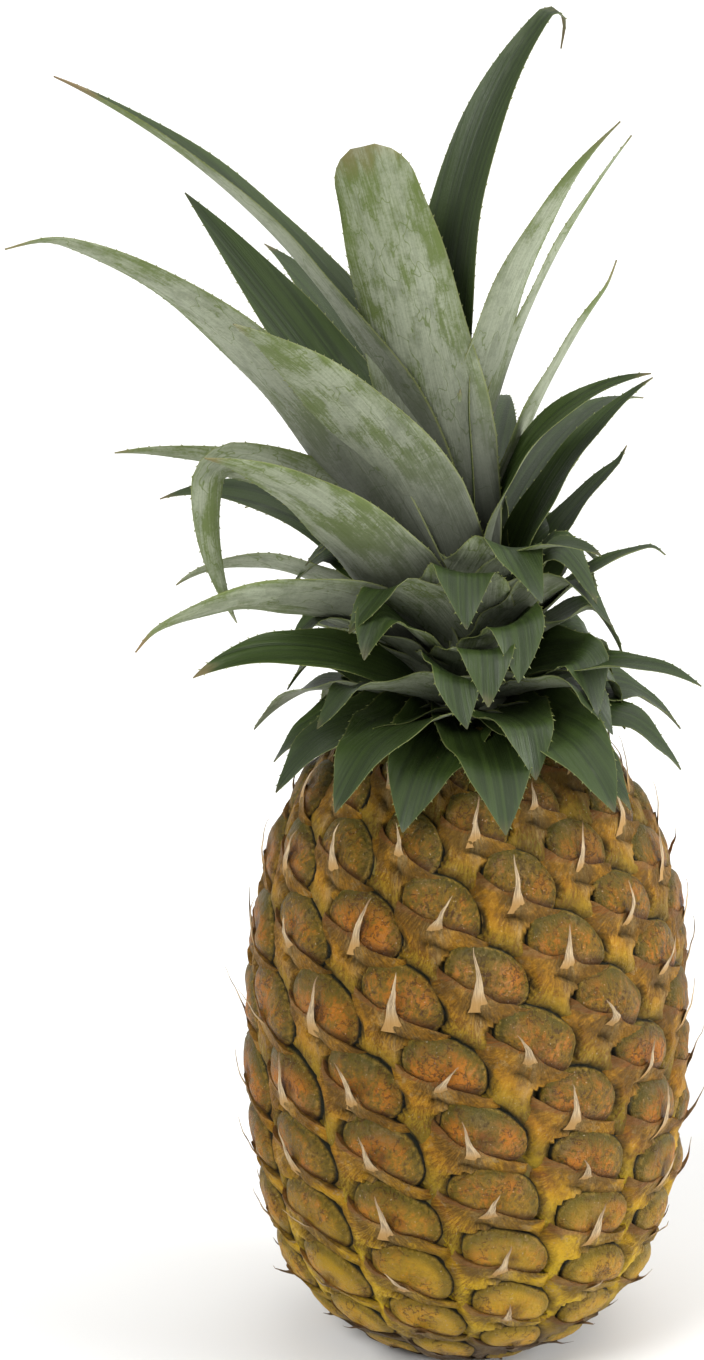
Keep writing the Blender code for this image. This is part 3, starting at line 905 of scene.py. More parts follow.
@dataclass(frozen=True)
class Rind:
    """The fruit: a turned ground, and on each point of the lattice a dome, a bract and a spike."""

    lattice: EyeLattice = field(default_factory=EyeLattice)
    ground_depth: float = 1.1 * MM
    ground_sides: int = 96
    base_inset: float = 1.0 * MM
    dome_half_width: float = 12.2 * MM
    dome_half_height: float = 9.8 * MM
    dome_above: float = 4.2 * MM
    dome_right: float = 1.5 * MM
    dome_power: float = 2.2
    dome_relief: float = 2.9 * MM
    dome_foot: float = -0.9 * MM
    dome_tilt: float = -0.26
    dome_rings: int = 9
    dome_sides: int = 30
    tuck_depth: float = 1.9 * MM
    cup_depth: float = 0.7 * MM
    cup_radius: float = 2.4 * MM
    bract_relief: float = 1.8 * MM
    bract_drop: float = 25.0 * MM
    bract_columns: int = 24
    bract_rows: int = 20
    spike_length: float = 13.0 * MM
    spike_width: float = 6.4 * MM
    spike_out: float = 3.0 * MM
    spike_lean: float = 5.5 * MM
    spike_root: tuple[float, float, float] = (0.0, -4.2 * MM, 0.9 * MM)
    spike_rise: float = 2.4 * MM
    spike_flare: float = 0.62
    spike_rings: int = 15
    spike_least: float = 0.6
    spike_most: float = 1.15
    bow: float = -4.5 * MM
    bow_middle: float = 0.65
    bow_power: float = 1.7
    eye_twist: float = 0.1
    groove_depth: float = 0.9 * MM
    groove_inner: float = -0.2 * MM
    groove_outer: float = 1.7 * MM
    relief_fade: float = 22.0 * MM
    relief_foot: float = 0.25
    warp: float = 1.0 * MM
    warp_scale: float = 75.0
    seed: int = 7

    def build(self) -> None:
        """Build and dress the fruit's pieces."""
        self.ground()
        self.spread(EyePart.DOME, self.dome(), DomeFinish("eye skin").material())
        self.spread(EyePart.BRACT, self.bract(), BractFinish("bract paper").material())
        self.spread(EyePart.SPIKE, self.spike(), SpikeFinish("dry spike").material())

    def ground(self) -> None:
        """Build the closed ground that the eyes stand on."""
        outline = self.lattice.outline
        profile = outline.inside(self.ground_depth)
        profile = [(profile[0][0] - self.base_inset, 0.0), *profile, (profile[-1][0], outline.top)]
        body = new_body("fruit_ground", *turned(profile, self.ground_sides))
        body.data.set_sharp_from_angle(angle=math.radians(SHARP))
        body.data.materials.append(FleshFinish("rind ground").material())
        hand_over(body, "fruit")

    def dome(self) -> bpy.types.Object:
        """Return one eye's dome, a closed cap with its foot under the surface."""
        rings, sides, power = self.dome_rings, self.dome_sides, self.dome_power
        turn = np.linspace(0, 2 * math.pi, sides, endpoint=False)
        reach = np.linspace(1, 0, rings, endpoint=False) ** 0.8
        cosine, sine = np.cos(turn), np.sin(turn)
        corner = (np.abs(cosine) ** power + np.abs(sine) ** power) ** (-1 / power)
        x = np.outer(reach, cosine * corner * self.dome_half_width).ravel()
        y = np.outer(reach, sine * corner * self.dome_half_height).ravel()
        rim = np.repeat(reach, sides)
        x, y, rim = (np.append(values, 0.0) for values in (x, y, rim))
        swell = (self.dome_relief - self.dome_foot) * (1 - rim**3.0) ** 0.6
        y = y + self.dome_above + self.dome_tilt * x
        x = x + self.dome_right
        tuck = np.clip((3.4 * MM - y - SLIT_SLOPE * x) / (6.0 * MM), 0, 1) ** 1.5 * self.tuck_depth
        near = ((x - SCAR_X * MM) ** 2 + (y - SCAR_Y * MM) ** 2) / self.cup_radius**2
        cup = self.cup_depth * np.exp(-near)
        z = np.maximum(self.dome_foot + swell - (tuck + cup) * (1 - rim**4), self.dome_foot)
        sole = self.dome_foot - 1.5 * MM
        under = np.stack([x[:sides], y[:sides], np.full(sides, sole)], -1)
        middle = [[self.dome_right, self.dome_above, sole]]
        points = np.concatenate([np.stack([x, y, z], -1), under, middle])
        faces = ring_faces(rings, sides)
        centre, foot = rings * sides, rings * sides + 1
        for side in range(sides):
            beside = (side + 1) % sides
            faces.append((centre - sides + side, centre - sides + beside, centre))
            faces.append((foot + side, foot + beside, beside, side))
            faces.append((len(points) - 1, foot + beside, foot + side))
        return self.template(EyePart.DOME, points, faces, rim=rim)

    def bract(self) -> bpy.types.Object:
        """Return one eye's bract, a closed pad whose upper edge stands proud under the dome."""
        columns, rows = self.bract_columns, self.bract_rows
        u, w = np.meshgrid(np.linspace(-1, 1, columns + 1), np.linspace(0, 1, rows + 1) ** 1.2)
        edge = 1.0 + 13.5 * u
        rise = 1.8 * np.exp(-((edge / 2.4) ** 2))
        brace = np.where(edge < 0, -0.42 * edge + 0.014 * edge**2, -0.33 * edge) + rise
        left = np.interp(w, [0, 0.25, 0.5, 0.75, 1], [-12.5, -16.0, -15.0, -11.0, -5.0])
        right = np.interp(w, [0, 0.15, 0.4, 0.7, 1], [14.5, 15.5, 14.0, 11.0, 8.0])
        x = left + (right - left) * (u + 1) / 2
        y = brace * (1 - w) - self.bract_drop / MM * w
        fade = (1 - np.abs(u) ** (3.0 + 7.0 * (1 - w) ** 6)) * (1 - w**3)
        crown = self.bract_relief / MM * (1 - 0.75 * w)
        keel = 0.9 * np.exp(-((x / 2.2) ** 2)) * (1 - w) ** 3
        lip = 0.45 * np.exp(-((w / 0.06) ** 2))
        pleats = 0.16 * np.sin(11 * x / (2.5 + 9 * w)) * np.clip(w / 0.08, 0, 1) * (1 - w)
        z = (crown + keel + lip + pleats) * fade - 0.9 * (1 - fade) * np.clip(w / 0.06, 0.25, 1)
        top = np.stack([x, y, z], -1).reshape(-1, 3) * MM
        wide = columns + 1
        border = list(range(columns)) + [row * wide + columns for row in range(rows)]
        border += [rows * wide + column for column in range(columns, 0, -1)]
        border += [row * wide for row in range(rows, 0, -1)]
        under = top[border].copy()
        under[:, 2] = -1.6 * MM
        under[: columns + 1, 1] -= 0.9 * MM
        points = np.concatenate([top, under, [[-1.0 * MM, -7.0 * MM, -1.6 * MM]]])
        faces = []
        for row in range(rows):
            for column in range(columns):
                a = row * wide + column
                faces.append((a, a + wide, a + wide + 1, a + 1))
        for step, here in enumerate(border):
            beside = (step + 1) % len(border)
            low, low_beside = len(top) + step, len(top) + beside
            faces.append((here, border[beside], low_beside, low))
            faces.append((low, low_beside, len(points) - 1))
        collar = np.clip((0.27 - w.ravel()) / 0.10, 0, 1)
        # wall is 1 on the pad's side and underside, which the finish paints dark as shade under the raised
        # edge
        return self.template(EyePart.BRACT, points, faces, collar=collar, wall=np.zeros(len(top)))

    def spike(self) -> bpy.types.Object:
        """Return one eye's spike, a thin keeled sliver that widens into the bract at its foot."""
        share = np.linspace(0, 1, self.spike_rings)[:, None, None]
        root = np.array(self.spike_root) / MM
        tip = np.array([0.0, self.spike_length, self.spike_rise + self.spike_out]) / MM
        bowed = root + (tip - root) * np.concatenate([share, share, 1 - (1 - share) ** 2], -1)
        taper = self.spike_flare * (1 - share) ** 4 + (1 - self.spike_flare) * (1 - share) ** 0.9
        wide = self.spike_width / MM / 2 * taper + 0.05
        thick = 0.36 * (1 - 0.8 * share)
        section = [(-1, 0), (-0.5, 0.55), (0, 1.25), (0.5, 0.55), (1, 0), (0.5, -0.4), (0, 0), (-0.5, -0.4)]
        sides = len(section)
        aside, deep = np.array(section).T[:, None, :, None]
        right = wide * aside
        points = bowed + np.concatenate([right, np.zeros_like(right), thick * deep], -1)
        cap = [(0, 1, 7), (1, 2, 6, 7), (2, 3, 5, 6), (3, 4, 5)]
        last = (self.spike_rings - 1) * sides
        faces = ring_faces(self.spike_rings, sides) + cap
        faces += [tuple(last + index for index in reversed(face)) for face in cap]
        lift = np.repeat(share.ravel(), sides)
        return self.template(EyePart.SPIKE, points.reshape(-1, 3) * MM, faces, lift=lift)

    @staticmethod
    def template(part: EyePart, points: np.ndarray, faces: list, **held: np.ndarray) -> bpy.types.Object:
        """Return the body of a part of an eye.

        Args:
            part: Which part it is.
            points: Its points.
            faces: The points of each face.
            held: Numbers that it holds by name, 1 at the points that they leave out.

        Returns:
            The body, which also holds the place of each point in the eye, in mm.
        """
        table = {name: np.append(values, np.ones(len(points) - len(values))) for name, values in held.items()}
        table |= {"eye_x": points[:, 0] / MM, "eye_y": points[:, 1] / MM}
        return new_body(part.value, points, outward(points - points.mean(0), faces), table)

    def spread(self, part: EyePart, template: bpy.types.Object, material: bpy.types.Material) -> None:
        """Set one part of an eye on every point of the lattice, and wrap the whole round the fruit.

        Args:
            part: Which part of the eye it is.
            template: The part, on a flat plan, with its eye's point at the origin.
            material: The part's material.
        """
        body = self.lattice.points(f"eye_{part.value}s")
        outline = self.lattice.outline.curve()
        centres = self.lattice.centres(self.dome_right, self.dome_above)
        values = {
            "Template": template,
            "Outline": outline,
            "Centres": centres,
            "Material": material,
            "Fruit Radius": self.lattice.outline.radius,
            "Relief Fade": self.relief_fade,
            "Lean": self.spike_lean,
            "Warp": self.warp,
            "Seed": self.seed,
        }
        name = f"{part.value}s on the fruit"
        run_tree(body, name, lambda nodes, given: self.eyes(part, nodes, given), values, SHARP)
        for helper in (template, outline, centres):
            bpy.data.objects.remove(helper)
        hand_over(body, "fruit")

    def eyes(self, part: EyePart, nodes: Nodes, given: dict[str, Value]) -> Value:
        """Add the nodes that set one part of an eye on every point of the lattice.

        Args:
            part: Which part of the eye it is.
            nodes: The tree's nodes.
            given: The tree's inputs by name.

        Returns:
            The part of every eye, wrapped round the fruit.
        """
        seed = given["Seed"]
        geometry = nodes.store(given["Geometry"], "eye_random", nodes.chance(seed, 0.0, 1.0))
        geometry = nodes.store(geometry, "lean", nodes.chance(seed + 1.0, -1.0, 1.0))
        size = nodes.named("size", "FLOAT_VECTOR")
        if part is EyePart.SPIKE:
            upward = nodes.place().parts()[1]
            longer = nodes.chance(seed + 2.0, self.spike_least, self.spike_most)
            longer = longer * upward.ramp(0.05, 0.13, 0.6, 1.0)
            x, _, z = size.parts()
            size = nodes.join(x, z * (longer * upward.ramp(0.222, 0.196, 0.4, 1.0)), z)
        twist = nodes.join(0.0, 0.0, nodes.named("lean") * self.eye_twist)
        rotation = nodes.out("FunctionNodeEulerToRotation", {0: twist})
        geometry = nodes.copies(geometry, nodes.shape(given["Template"]), size, rotation)
        if part is EyePart.SPIKE:
            geometry = self.lean_over(nodes, geometry, given["Lean"])
        if part is EyePart.BRACT:
            geometry = self.sink_beside_domes(nodes, geometry, given["Centres"])
        return self.wrap(nodes, geometry, given)

    def lean_over(self, nodes: Nodes, geometry: Value, lean: Value) -> Value:
        """Return the spikes, each leaning its own way and more or less bent.

        Args:
            nodes: The tree's nodes.
            geometry: The spikes.
            lean: How far the tips lean.

        Returns:
            The spikes.
        """
        lift = nodes.named("lift") ** self.bow_power
        aside = nodes.named("lean") * lift * lean
        out = (nodes.named("eye_random") - self.bow_middle) * lift * self.bow
        return nodes.move(geometry, "Offset", nodes.join(aside, 0.0, out))

    def sink_beside_domes(self, nodes: Nodes, geometry: Value, centres: Value) -> Value:
        """Return the bracts, sunk into a groove round every dome that they come near.

        Args:
            nodes: The tree's nodes.
            geometry: The bracts on the flat plan.
            centres: The domes' centres.

        Returns:
            The bracts, which hold how near a dome they are as groove, where the finish paints shade, and
            beside.
        """
        place = nodes.place()
        x, y, z = place.parts()
        spots = nodes.shape(centres)
        nearest = {"Geometry": spots, "Sample Position": nodes.join(x, y, 0.0)}
        inputs = {"Geometry": spots, "Value": place, "Index": nodes.out("GeometryNodeSampleNearest", nearest)}
        spot_x, spot_y, _ = nodes.out("GeometryNodeSampleIndex", inputs, data_type="FLOAT_VECTOR").parts()
        across = x - spot_x
        up = y - spot_y - across * self.dome_tilt
        tall = nodes.named("size", "FLOAT_VECTOR").parts()[1] * self.dome_half_height
        wide = abs(across / self.dome_half_width) ** self.dome_power
        high = abs(up / tall) ** self.dome_power
        clear = ((wide + high) ** (1 / self.dome_power) - 1.0) * self.dome_half_height
        collar = nodes.named("collar")
        keep = nodes.math("MAXIMUM", clear.ramp(self.groove_inner, self.groove_outer), collar)
        above = nodes.math("MAXIMUM", z, 0.0)
        below = nodes.math("MINIMUM", z, 0.0)
        lowered = above * keep + below + (1.0 - keep) * -self.groove_depth
        # groove marks where the bract finish paints shade over the groove's dark line
        geometry = nodes.store(geometry, "groove", clear.ramp(1.1 * MM, 0.2 * MM) * (1.0 - collar))
        geometry = nodes.store(geometry, "beside", clear.ramp(4.5 * MM, 0.5 * MM))
        return nodes.move(geometry, "Position", nodes.join(x, y, lowered))

    def wrap(self, nodes: Nodes, geometry: Value, given: dict[str, Value]) -> Value:
        """Return what lies on the flat plan, wrapped round the fruit's outline and a little warped.

        Args:
            nodes: The tree's nodes.
            geometry: What lies on the plan.
            given: The tree's inputs by name.

        Returns:
            The wrapped geometry.
        """
        x, y, z = nodes.place().parts()
        inputs = {"Curves": nodes.shape(given["Outline"]), "Length": y}
        sample = nodes.add("GeometryNodeSampleCurve", inputs, mode="LENGTH")
        radius, _, height = Value(nodes, sample.outputs["Position"]).parts()
        run, _, rise = Value(nodes, sample.outputs["Tangent"]).parts()
        fade = {0: height, 1: 0.0, 2: given["Relief Fade"], 3: self.relief_foot, 4: 1.0}
        out = z * nodes.out("ShaderNodeMapRange", fade)
        radius = radius + out * rise
        turn = x / given["Fruit Radius"]
        front = radius * (nodes.math("COSINE", turn) * -1.0)
        place = nodes.join(radius * nodes.math("SINE", turn), front, height - out * run)
        inputs = {"Vector": place, "Scale": self.warp_scale, "Detail": 3.0, "Roughness": 0.45}
        wobble = nodes.out("ShaderNodeTexNoise", inputs, "Color")
        wobble = nodes.vector("SUBTRACT", wobble, {1: (0.5, 0.5, 0.5)})
        wobble = nodes.vector("SCALE", wobble, {"Scale": given["Warp"] * 4.0})
        right, front, height = nodes.vector("ADD", place, {1: wobble}).parts()
        place = nodes.join(right, front, nodes.math("MAXIMUM", height, 0.0))
        return nodes.move(geometry, "Position", place)


@dataclass(frozen=True)
class Blade:
    """A crown blade: its root, the curve of its midrib and its width. Angles are in degrees, lengths in mm.

    The midrib leaves the stem at the rise and ends at the fall, and side turns it sideways on the way. The
    roll turns the blade about its midrib. A folded blade bends down by fold_by at fold_at of its length.
    """

    azimuth: float
    height: float
    length: float
    width: float
    rise: float
    fall: float
    side: float = 0.0
    bend: float = 1.3
    roll: float = 0.0
    fold_at: float = 2.0
    fold_by: float = 0.0
    tip: Tip = Tip.POINTED
    foot: float = 0.72
    hook: float = 0.0
    dry: float = 0.6
    ripple: float = 0.5
    channel: float = 1.0
    fold_span: float = 0.08
    hook_at: float = 0.90
    hook_span: float = 0.06

    def directions(self, share: np.ndarray) -> np.ndarray:
        """Return the unit directions in which the midrib runs, at shares of its length.

        Args:
            share: The shares of its length.

        Returns:
            A unit vector for each.
        """
        angle = np.radians(self.rise + (self.fall - self.rise) * share**self.bend)
        folded = np.clip((share - self.fold_at) / self.fold_span, 0, 1)
        hooked = np.clip((share - self.hook_at) / self.hook_span, 0, 1)
        angle = angle - np.radians(self.fold_by) * folded
        angle = angle - np.radians(self.hook) * hooked
        lean = np.radians(self.side) * np.sqrt(share)
        outwards, across = self.axes()
        ahead = np.outer(np.cos(angle), outwards) + np.outer(np.sin(angle), (0, 0, 1))
        return np.cos(lean)[:, None] * ahead + np.outer(np.sin(lean), across)

    def axes(self) -> tuple[np.ndarray, np.ndarray]:
        """Return the level directions away from the stem and across the blade at its root."""
        turn = math.radians(self.azimuth)
        return np.array([math.sin(turn), -math.cos(turn), 0]), np.array([math.cos(turn), math.sin(turn), 0])

    def taper(self, share: np.ndarray) -> np.ndarray:
        """Return the blade's width along its length, beside its greatest width.

        Args:
            share: The shares of its length.

        Returns:
            The width at each, 1 where it is greatest.
        """
        foot = self.foot + (1 - self.foot) * np.minimum(share / 0.3, 1)
        if self.tip is Tip.CUT:
            rounding = np.sqrt(np.clip(1 - ((share - 0.915) / 0.09).clip(0, 1) ** 2, 0, 1))
            return foot * (1 - 0.36 * share**2.4) * np.maximum(rounding, 0.12)
        return foot * (np.maximum(1 - share**2.0, 0.0) * 0.985 + 0.015)


@dataclass(frozen=True)
class Crown:
    """The crown: its stem, the short leaves at its foot and heart, and the long blades, a piece each."""

    outline_top: float = 181 * MM
    stem_top: float = 236 * MM
    stem_foot_radius: float = 12.5 * MM
    stem_top_radius: float = 4.5 * MM
    stem_lean: float = -0.08
    gap: float = 0.3 * MM
    thickness: float = 1.0 * MM
    stem_from: float = 176 * MM
    stem_to: float = 235 * MM
    stem_round: float = 6 * MM
    stem_peak: float = 0.6 * MM
    stem_levels: int = 24
    stem_sides: int = 32
    blade_mesh: tuple[int, int] = (52, 12)
    short_mesh: tuple[int, int] = (28, 10)
    short_sunk: float = 3 * MM
    basal_leaves: int = 32
    fringe_leaves: int = 15
    heart_leaves: int = 4
    tooth_length: float = 0.7 * MM
    tooth_spacing: float = 3.0 * MM
    tooth_seed: int = 3

    def build(self, blades: dict[str, Blade]) -> None:
        """Build and dress the crown's pieces.

        Args:
            blades: The long blades by the node that each stands for.
        """
        finish = BladeFinish("blade").material()
        self.stem(finish)
        self.short_leaves(finish)
        for number, (name, blade) in enumerate(blades.items()):
            points, faces, attributes = self.shell(blade, number * BLADE_STRIDE % 1, *self.blade_mesh)
            body = new_body(name.replace("leaf_", "blade_"), points, faces, attributes)
            self.add_teeth(body, finish)
            hand_over(body, name)

    def stem_radius(self, height: float) -> float:
        """Return the stem's radius at a height."""
        share = (height - self.outline_top) / (self.stem_top - self.outline_top)
        return self.stem_foot_radius + (self.stem_top_radius - self.stem_foot_radius) * min(max(share, 0), 1)

    def stem(self, material: bpy.types.Material) -> None:
        """Build the leaning stem that carries the leaves.

        Args:
            material: The stem's material.
        """
        profile = []
        for level in np.linspace(self.stem_from, self.stem_to, self.stem_levels):
            rounding = 1 - 0.5 * max(0, (level - self.stem_to) / self.stem_round + 1) ** 2
            profile.append((self.stem_radius(level) * rounding, level))
        points, faces = turned(profile, self.stem_sides, self.stem_peak)
        points[:, 0] += self.stem_lean * np.maximum(points[:, 2] - self.outline_top, 0)
        body = new_body("crown_core", points, faces, {"under": np.ones(len(points))})
        body.data.materials.append(material)
        hand_over(body, "crown_stem")

    def basal_leaf(self, index: int) -> Blade:
        """Return the short leaf at a place in the spiral round the crown's foot.

        Args:
            index: Its place, from the lowest.

        Returns:
            The leaf.
        """
        share = index / (self.basal_leaves - 1)
        wobble = math.sin(2.4 * index)
        return Blade(
            azimuth=DIVERGENCE * index + 20,
            height=185 + 22 * share,
            length=46 + 8 * share + 3 * wobble,
            width=28 + 2 * share,
            rise=20 + 54 * share + 5 * wobble,
            fall=-16 + 38 * share,
            bend=1.5,
            side=24 * math.sin(1.7 * index),
            fold_at=0.66 + 0.05 * wobble,
            fold_by=54 + 20 * share - 8 * wobble,
            roll=-18 * math.sin(1.7 * index),
            foot=0.85,
            dry=0.2,
            ripple=0.9,
        )

    def fringe_leaf(self, index: int) -> Blade:
        """Return a leaf of the lowest fringe, which hangs over the fruit's shoulder.

        Args:
            index: Its place in the fringe.

        Returns:
            The leaf.
        """
        wobble = math.sin(2.1 * index)
        return Blade(
            azimuth=360 / self.fringe_leaves * index + 8 + 5 * wobble,
            height=183 + index % 2,
            length=53 + 5 * wobble,
            width=31 + 2 * wobble,
            rise=8 + 8 * wobble,
            fall=-38,
            fold_at=0.60,
            fold_by=14,
            roll=10 * wobble,
            foot=0.8,
            dry=0.2,
            ripple=0.9,
        )

    def heart_leaf(self, index: int) -> Blade:
        """Return an upright leaf at the top of the crown's stem."""
        return Blade(DIVERGENCE * index + 60, 231, 30 + 5 * index, 13, 84, 76, foot=0.5)

    def short_leaves(self, material: bpy.types.Material) -> None:
        """Build the short leaves in one piece.

        Args:
            material: The leaves' material.
        """
        leaves = [self.basal_leaf(index) for index in range(self.basal_leaves)]
        leaves += [self.fringe_leaf(index) for index in range(self.fringe_leaves)]
        leaves += [self.heart_leaf(index) for index in range(self.heart_leaves)]
        points, faces, attributes = [], [], {}
        count = 0
        for number, leaf in enumerate(leaves):
            chance = number * SHORT_STRIDE % 1
            some, some_faces, values = self.shell(leaf, chance, *self.short_mesh, self.short_sunk)
            points.append(some)
            faces += [tuple(index + count for index in face) for face in some_faces]
            for name, value in values.items():
                attributes.setdefault(name, []).append(value)
            count += len(some)
        merged = {name: np.concatenate(values) for name, values in attributes.items()}
        body = new_body("short_leaves", np.concatenate(points), faces, merged)
        self.add_teeth(body, material)
        hand_over(body, "crown_stem")

    def shell(self, blade: Blade, chance: float, segments: int, lanes: int, sunk: float = 1.5 * MM) -> tuple:
        """Loft one blade.

        Args:
            blade: The blade.
            chance: Its own random number, from 0 to 1.
            segments: How many steps its length takes.
            lanes: How many steps its width takes.
            sunk: How far its root stands in the stem.

        Returns:
            Its points, its faces, and the values that the finish and the teeth read.
        """
        share = np.linspace(0, 1, segments + 1) ** 0.97
        fine = np.linspace(0, 1, 20 * segments + 1)
        outwards, across = blade.axes()
        height = blade.height * MM
        root = np.array([self.stem_lean * (height - self.outline_top), 0, height])
        root = root + (self.stem_radius(height) + self.gap + self.thickness / 2 - sunk) * outwards
        steps = blade.directions(fine)
        path = np.cumsum((steps[1:] + steps[:-1]) / 2 * (blade.length * MM / (len(fine) - 1)), 0)
        path = np.concatenate([[[0, 0, 0]], path])
        middle = root + np.stack([np.interp(share, fine, path[:, axis]) for axis in range(3)], -1)
        ahead = blade.directions(share)
        inner = np.cross(ahead, across)
        inner /= np.linalg.norm(inner, axis=1)[:, None]
        sideways = np.cross(inner, ahead)
        twist = np.radians(blade.roll) * (0.4 + 0.6 * np.minimum(share / 0.3, 1))
        sideways, inner = (
            np.cos(twist)[:, None] * sideways + np.sin(twist)[:, None] * inner,
            np.cos(twist)[:, None] * inner - np.sin(twist)[:, None] * sideways,
        )
        u = np.linspace(-1, 1, lanes + 1)
        half = blade.width * MM / 2 * blade.taper(share)
        opening = np.radians(62 - 34 * np.minimum(share / 0.5, 1))
        lift = half * np.tan(opening / 2) * 0.8 * blade.channel
        right = np.sin(share * 19 + chance * 40)[:, None] * (u > 0)
        wave = right + np.sin(share * 23 + chance * 70)[:, None] * (u < 0)
        wave = wave * blade.ripple * MM * (half / half.max())[:, None] * np.abs(u) ** 2
        x = (half * np.cos(opening / 4))[:, None] * u
        y = lift[:, None] * np.abs(u) ** 1.6 + wave
        thick = self.thickness * (1 - 0.5 * share)[:, None] * (1 - 0.75 * np.abs(u) ** 1.5) / 2
        spine = middle[:, None, :] + sideways[:, None, :] * x[..., None]
        upper = spine + inner[:, None, :] * (y + thick)[..., None]
        lower = spine + inner[:, None, :] * (y - thick)[..., None]
        points = np.concatenate([upper, lower[:, ::-1]], 1)
        ring = 2 * (lanes + 1)
        both = np.concatenate([u, u[::-1]])
        out = np.sign(both)[None, :, None] * sideways[:, None, :] * 0.75 + ahead[:, None, :] * 0.8
        margin = (np.arange(ring) == 0) | (np.arange(ring) == lanes)
        grown = (share > 0.12) & (share < 0.97)
        attributes = {
            "across": np.tile(both, segments + 1),
            "along": np.repeat(share, ring),
            "under": np.tile(np.arange(ring) > lanes, segments + 1).astype(float),
            "blade_x": (half[:, None] * both).ravel(),
            "blade_y": np.repeat(share * blade.length * MM, ring),
            "blade_random": np.full((segments + 1) * ring, chance),
            "dry": np.full((segments + 1) * ring, blade.dry),
            "margin": np.outer(grown, margin).astype(float).ravel(),
            "tooth_out": out.reshape(-1, 3),
        }
        faces = ring_faces(segments + 1, ring)
        last = segments * ring
        for j in range(lanes):
            faces.append((j + 1, j, ring - 1 - j, ring - 2 - j))
            faces.append((last + j, last + j + 1, last + ring - 2 - j, last + ring - 1 - j))
        points = points.reshape(-1, 3)
        centred = points - points.mean(0)
        return points, outward(centred, faces), attributes

    def add_teeth(self, body: bpy.types.Object, material: bpy.types.Material) -> None:
        """Set teeth along a body's margins, and make the result its mesh.

        Args:
            body: The leaves.
            material: Their material.
        """
        values = {
            "Material": material,
            "Tooth Length": self.tooth_length,
            "Tooth Spacing": self.tooth_spacing,
            "Seed": self.tooth_seed,
        }
        run_tree(body, "teeth on margins", self.teeth, values, SHARP_TEETH)

    @staticmethod
    def teeth(nodes: Nodes, given: dict[str, Value]) -> Value:
        """Return a blade with teeth along its margins.

        Args:
            nodes: The tree's nodes.
            given: The tree's inputs by name.

        Returns:
            The blade and its teeth.
        """
        margin = nodes.math("GREATER_THAN", nodes.named("margin"), 0.9)
        curve = nodes.out("GeometryNodeMeshToCurve", {"Mesh": given["Geometry"], "Selection": margin})
        inputs = {"Curve": curve, "Length": given["Tooth Spacing"]}
        curve = nodes.out("GeometryNodeResampleCurve", inputs, mode="LENGTH")
        length = given["Tooth Length"]
        cone = {"Vertices": 3, "Radius Top": 0.0, "Radius Bottom": length * 0.32, "Depth": length}
        out = {"Vector": nodes.named("tooth_out", "FLOAT_VECTOR")}
        turn = nodes.out("FunctionNodeAlignRotationToVector", out, axis="Z")
        size = nodes.chance(given["Seed"], 0.6, 1.2)
        tooth = nodes.out("GeometryNodeMeshCone", cone)
        teeth = nodes.copies(curve, tooth, nodes.join(size, size, size), turn)
        joined = nodes.add("GeometryNodeJoinGeometry")
        nodes.give(joined, {0: nodes.store(teeth, "tooth", 1.0)})
        nodes.give(joined, {0: given["Geometry"]})
        return Value(nodes, joined.outputs[0])


def long_blades() -> dict[str, Blade]:
    """Return the crown's long blades by the name of the node that each stands for."""
    return {
        "leaf_front_blunt": Blade(-20, 225, 117, 33, 83, 86, side=-16, tip=Tip.CUT, dry=0.5, ripple=0.8),
        "leaf_front_broad": Blade(-38, 213, 121, 34, 74, 30, side=-8, bend=0.9, roll=25, dry=0.4),
        "leaf_left_long": Blade(-65, 211, 181, 26, 59, 13, side=9, bend=1.95, roll=32, hook=20),
        "leaf_left_high": Blade(-98, 224, 172, 27, 86, 25, side=2, bend=0.8, roll=4, dry=1.0, channel=2.6),
        "leaf_right_tall": Blade(120, 231, 163, 27, 102, 31, side=8, bend=1.5, roll=15, hook=125, dry=1.0),
        "leaf_right_high": Blade(36, 220, 145, 22, 100, 42, side=6, bend=1.0, roll=10),
        "leaf_back_left": Blade(-130, 226, 121, 26, 54, 44, side=10, bend=0.9, roll=-30, dry=0.2),
        "leaf_back_small": Blade(-150, 231, 94, 20, 50, 58, dry=0.2),
        "leaf_right_second": Blade(106, 227, 121, 18, 94, 51, bend=0.75, roll=-30),
        "leaf_right_third": Blade(104, 215, 98, 18, 88, 51, bend=0.8, roll=-34, hook=-20),
        "leaf_right_arched": Blade(72, 207, 95, 22, 100, 14, side=-2, bend=1.15, roll=22),
        "leaf_right_fifth": Blade(96, 203, 85, 18, 80, 34, roll=18),
        "leaf_right_sixth": Blade(118, 200, 66, 17, 64, 30, hook=-30, dry=1.0),
        "leaf_right_curled": Blade(45, 200, 61, 28, 98, -15, side=4, bend=1.1, dry=0.2),
        "leaf_right_low": Blade(86, 195, 59, 18, 62, 10, bend=1.35, hook=50),
        "leaf_right_lowest": Blade(60, 190, 62, 22, 27, -21, bend=2.0),
        "leaf_left_broad": Blade(-50, 201, 105, 28, 59, 18, side=-2, roll=35),
        "leaf_left_level": Blade(-100, 208, 104, 22, 74, -6, side=3, bend=0.7, roll=45),
        "leaf_left_folded": Blade(-78, 204, 128, 22, 74, -23, 1, 1, 58, fold_at=0.61, fold_by=92),
        "leaf_left_fourth": Blade(-116, 202, 96, 20, 50, -25, bend=1.4, roll=-26),
        "leaf_left_fifth": Blade(-96, 197, 79, 22, 42, -38, side=-6, bend=1.8, roll=35),
        "leaf_left_low": Blade(-65, 194, 99, 24, 57, -25, side=2, bend=0.9, roll=46, hook=20, dry=1.0),
        "leaf_left_lowest": Blade(-60, 189, 81, 22, 31, -20, side=5, bend=2.0, roll=-26),
        "leaf_rear_high": Blade(-160, 219, 122, 26, 74, 26),
        "leaf_rear_left": Blade(-148, 211, 130, 26, 64, 10),
        "leaf_rear_right": Blade(150, 211, 112, 24, 46, -16),
        "leaf_rear_low": Blade(172, 203, 110, 24, 50, -12),
        "leaf_rear_lowest": Blade(-138, 200, 90, 20, 44, -25),
    }


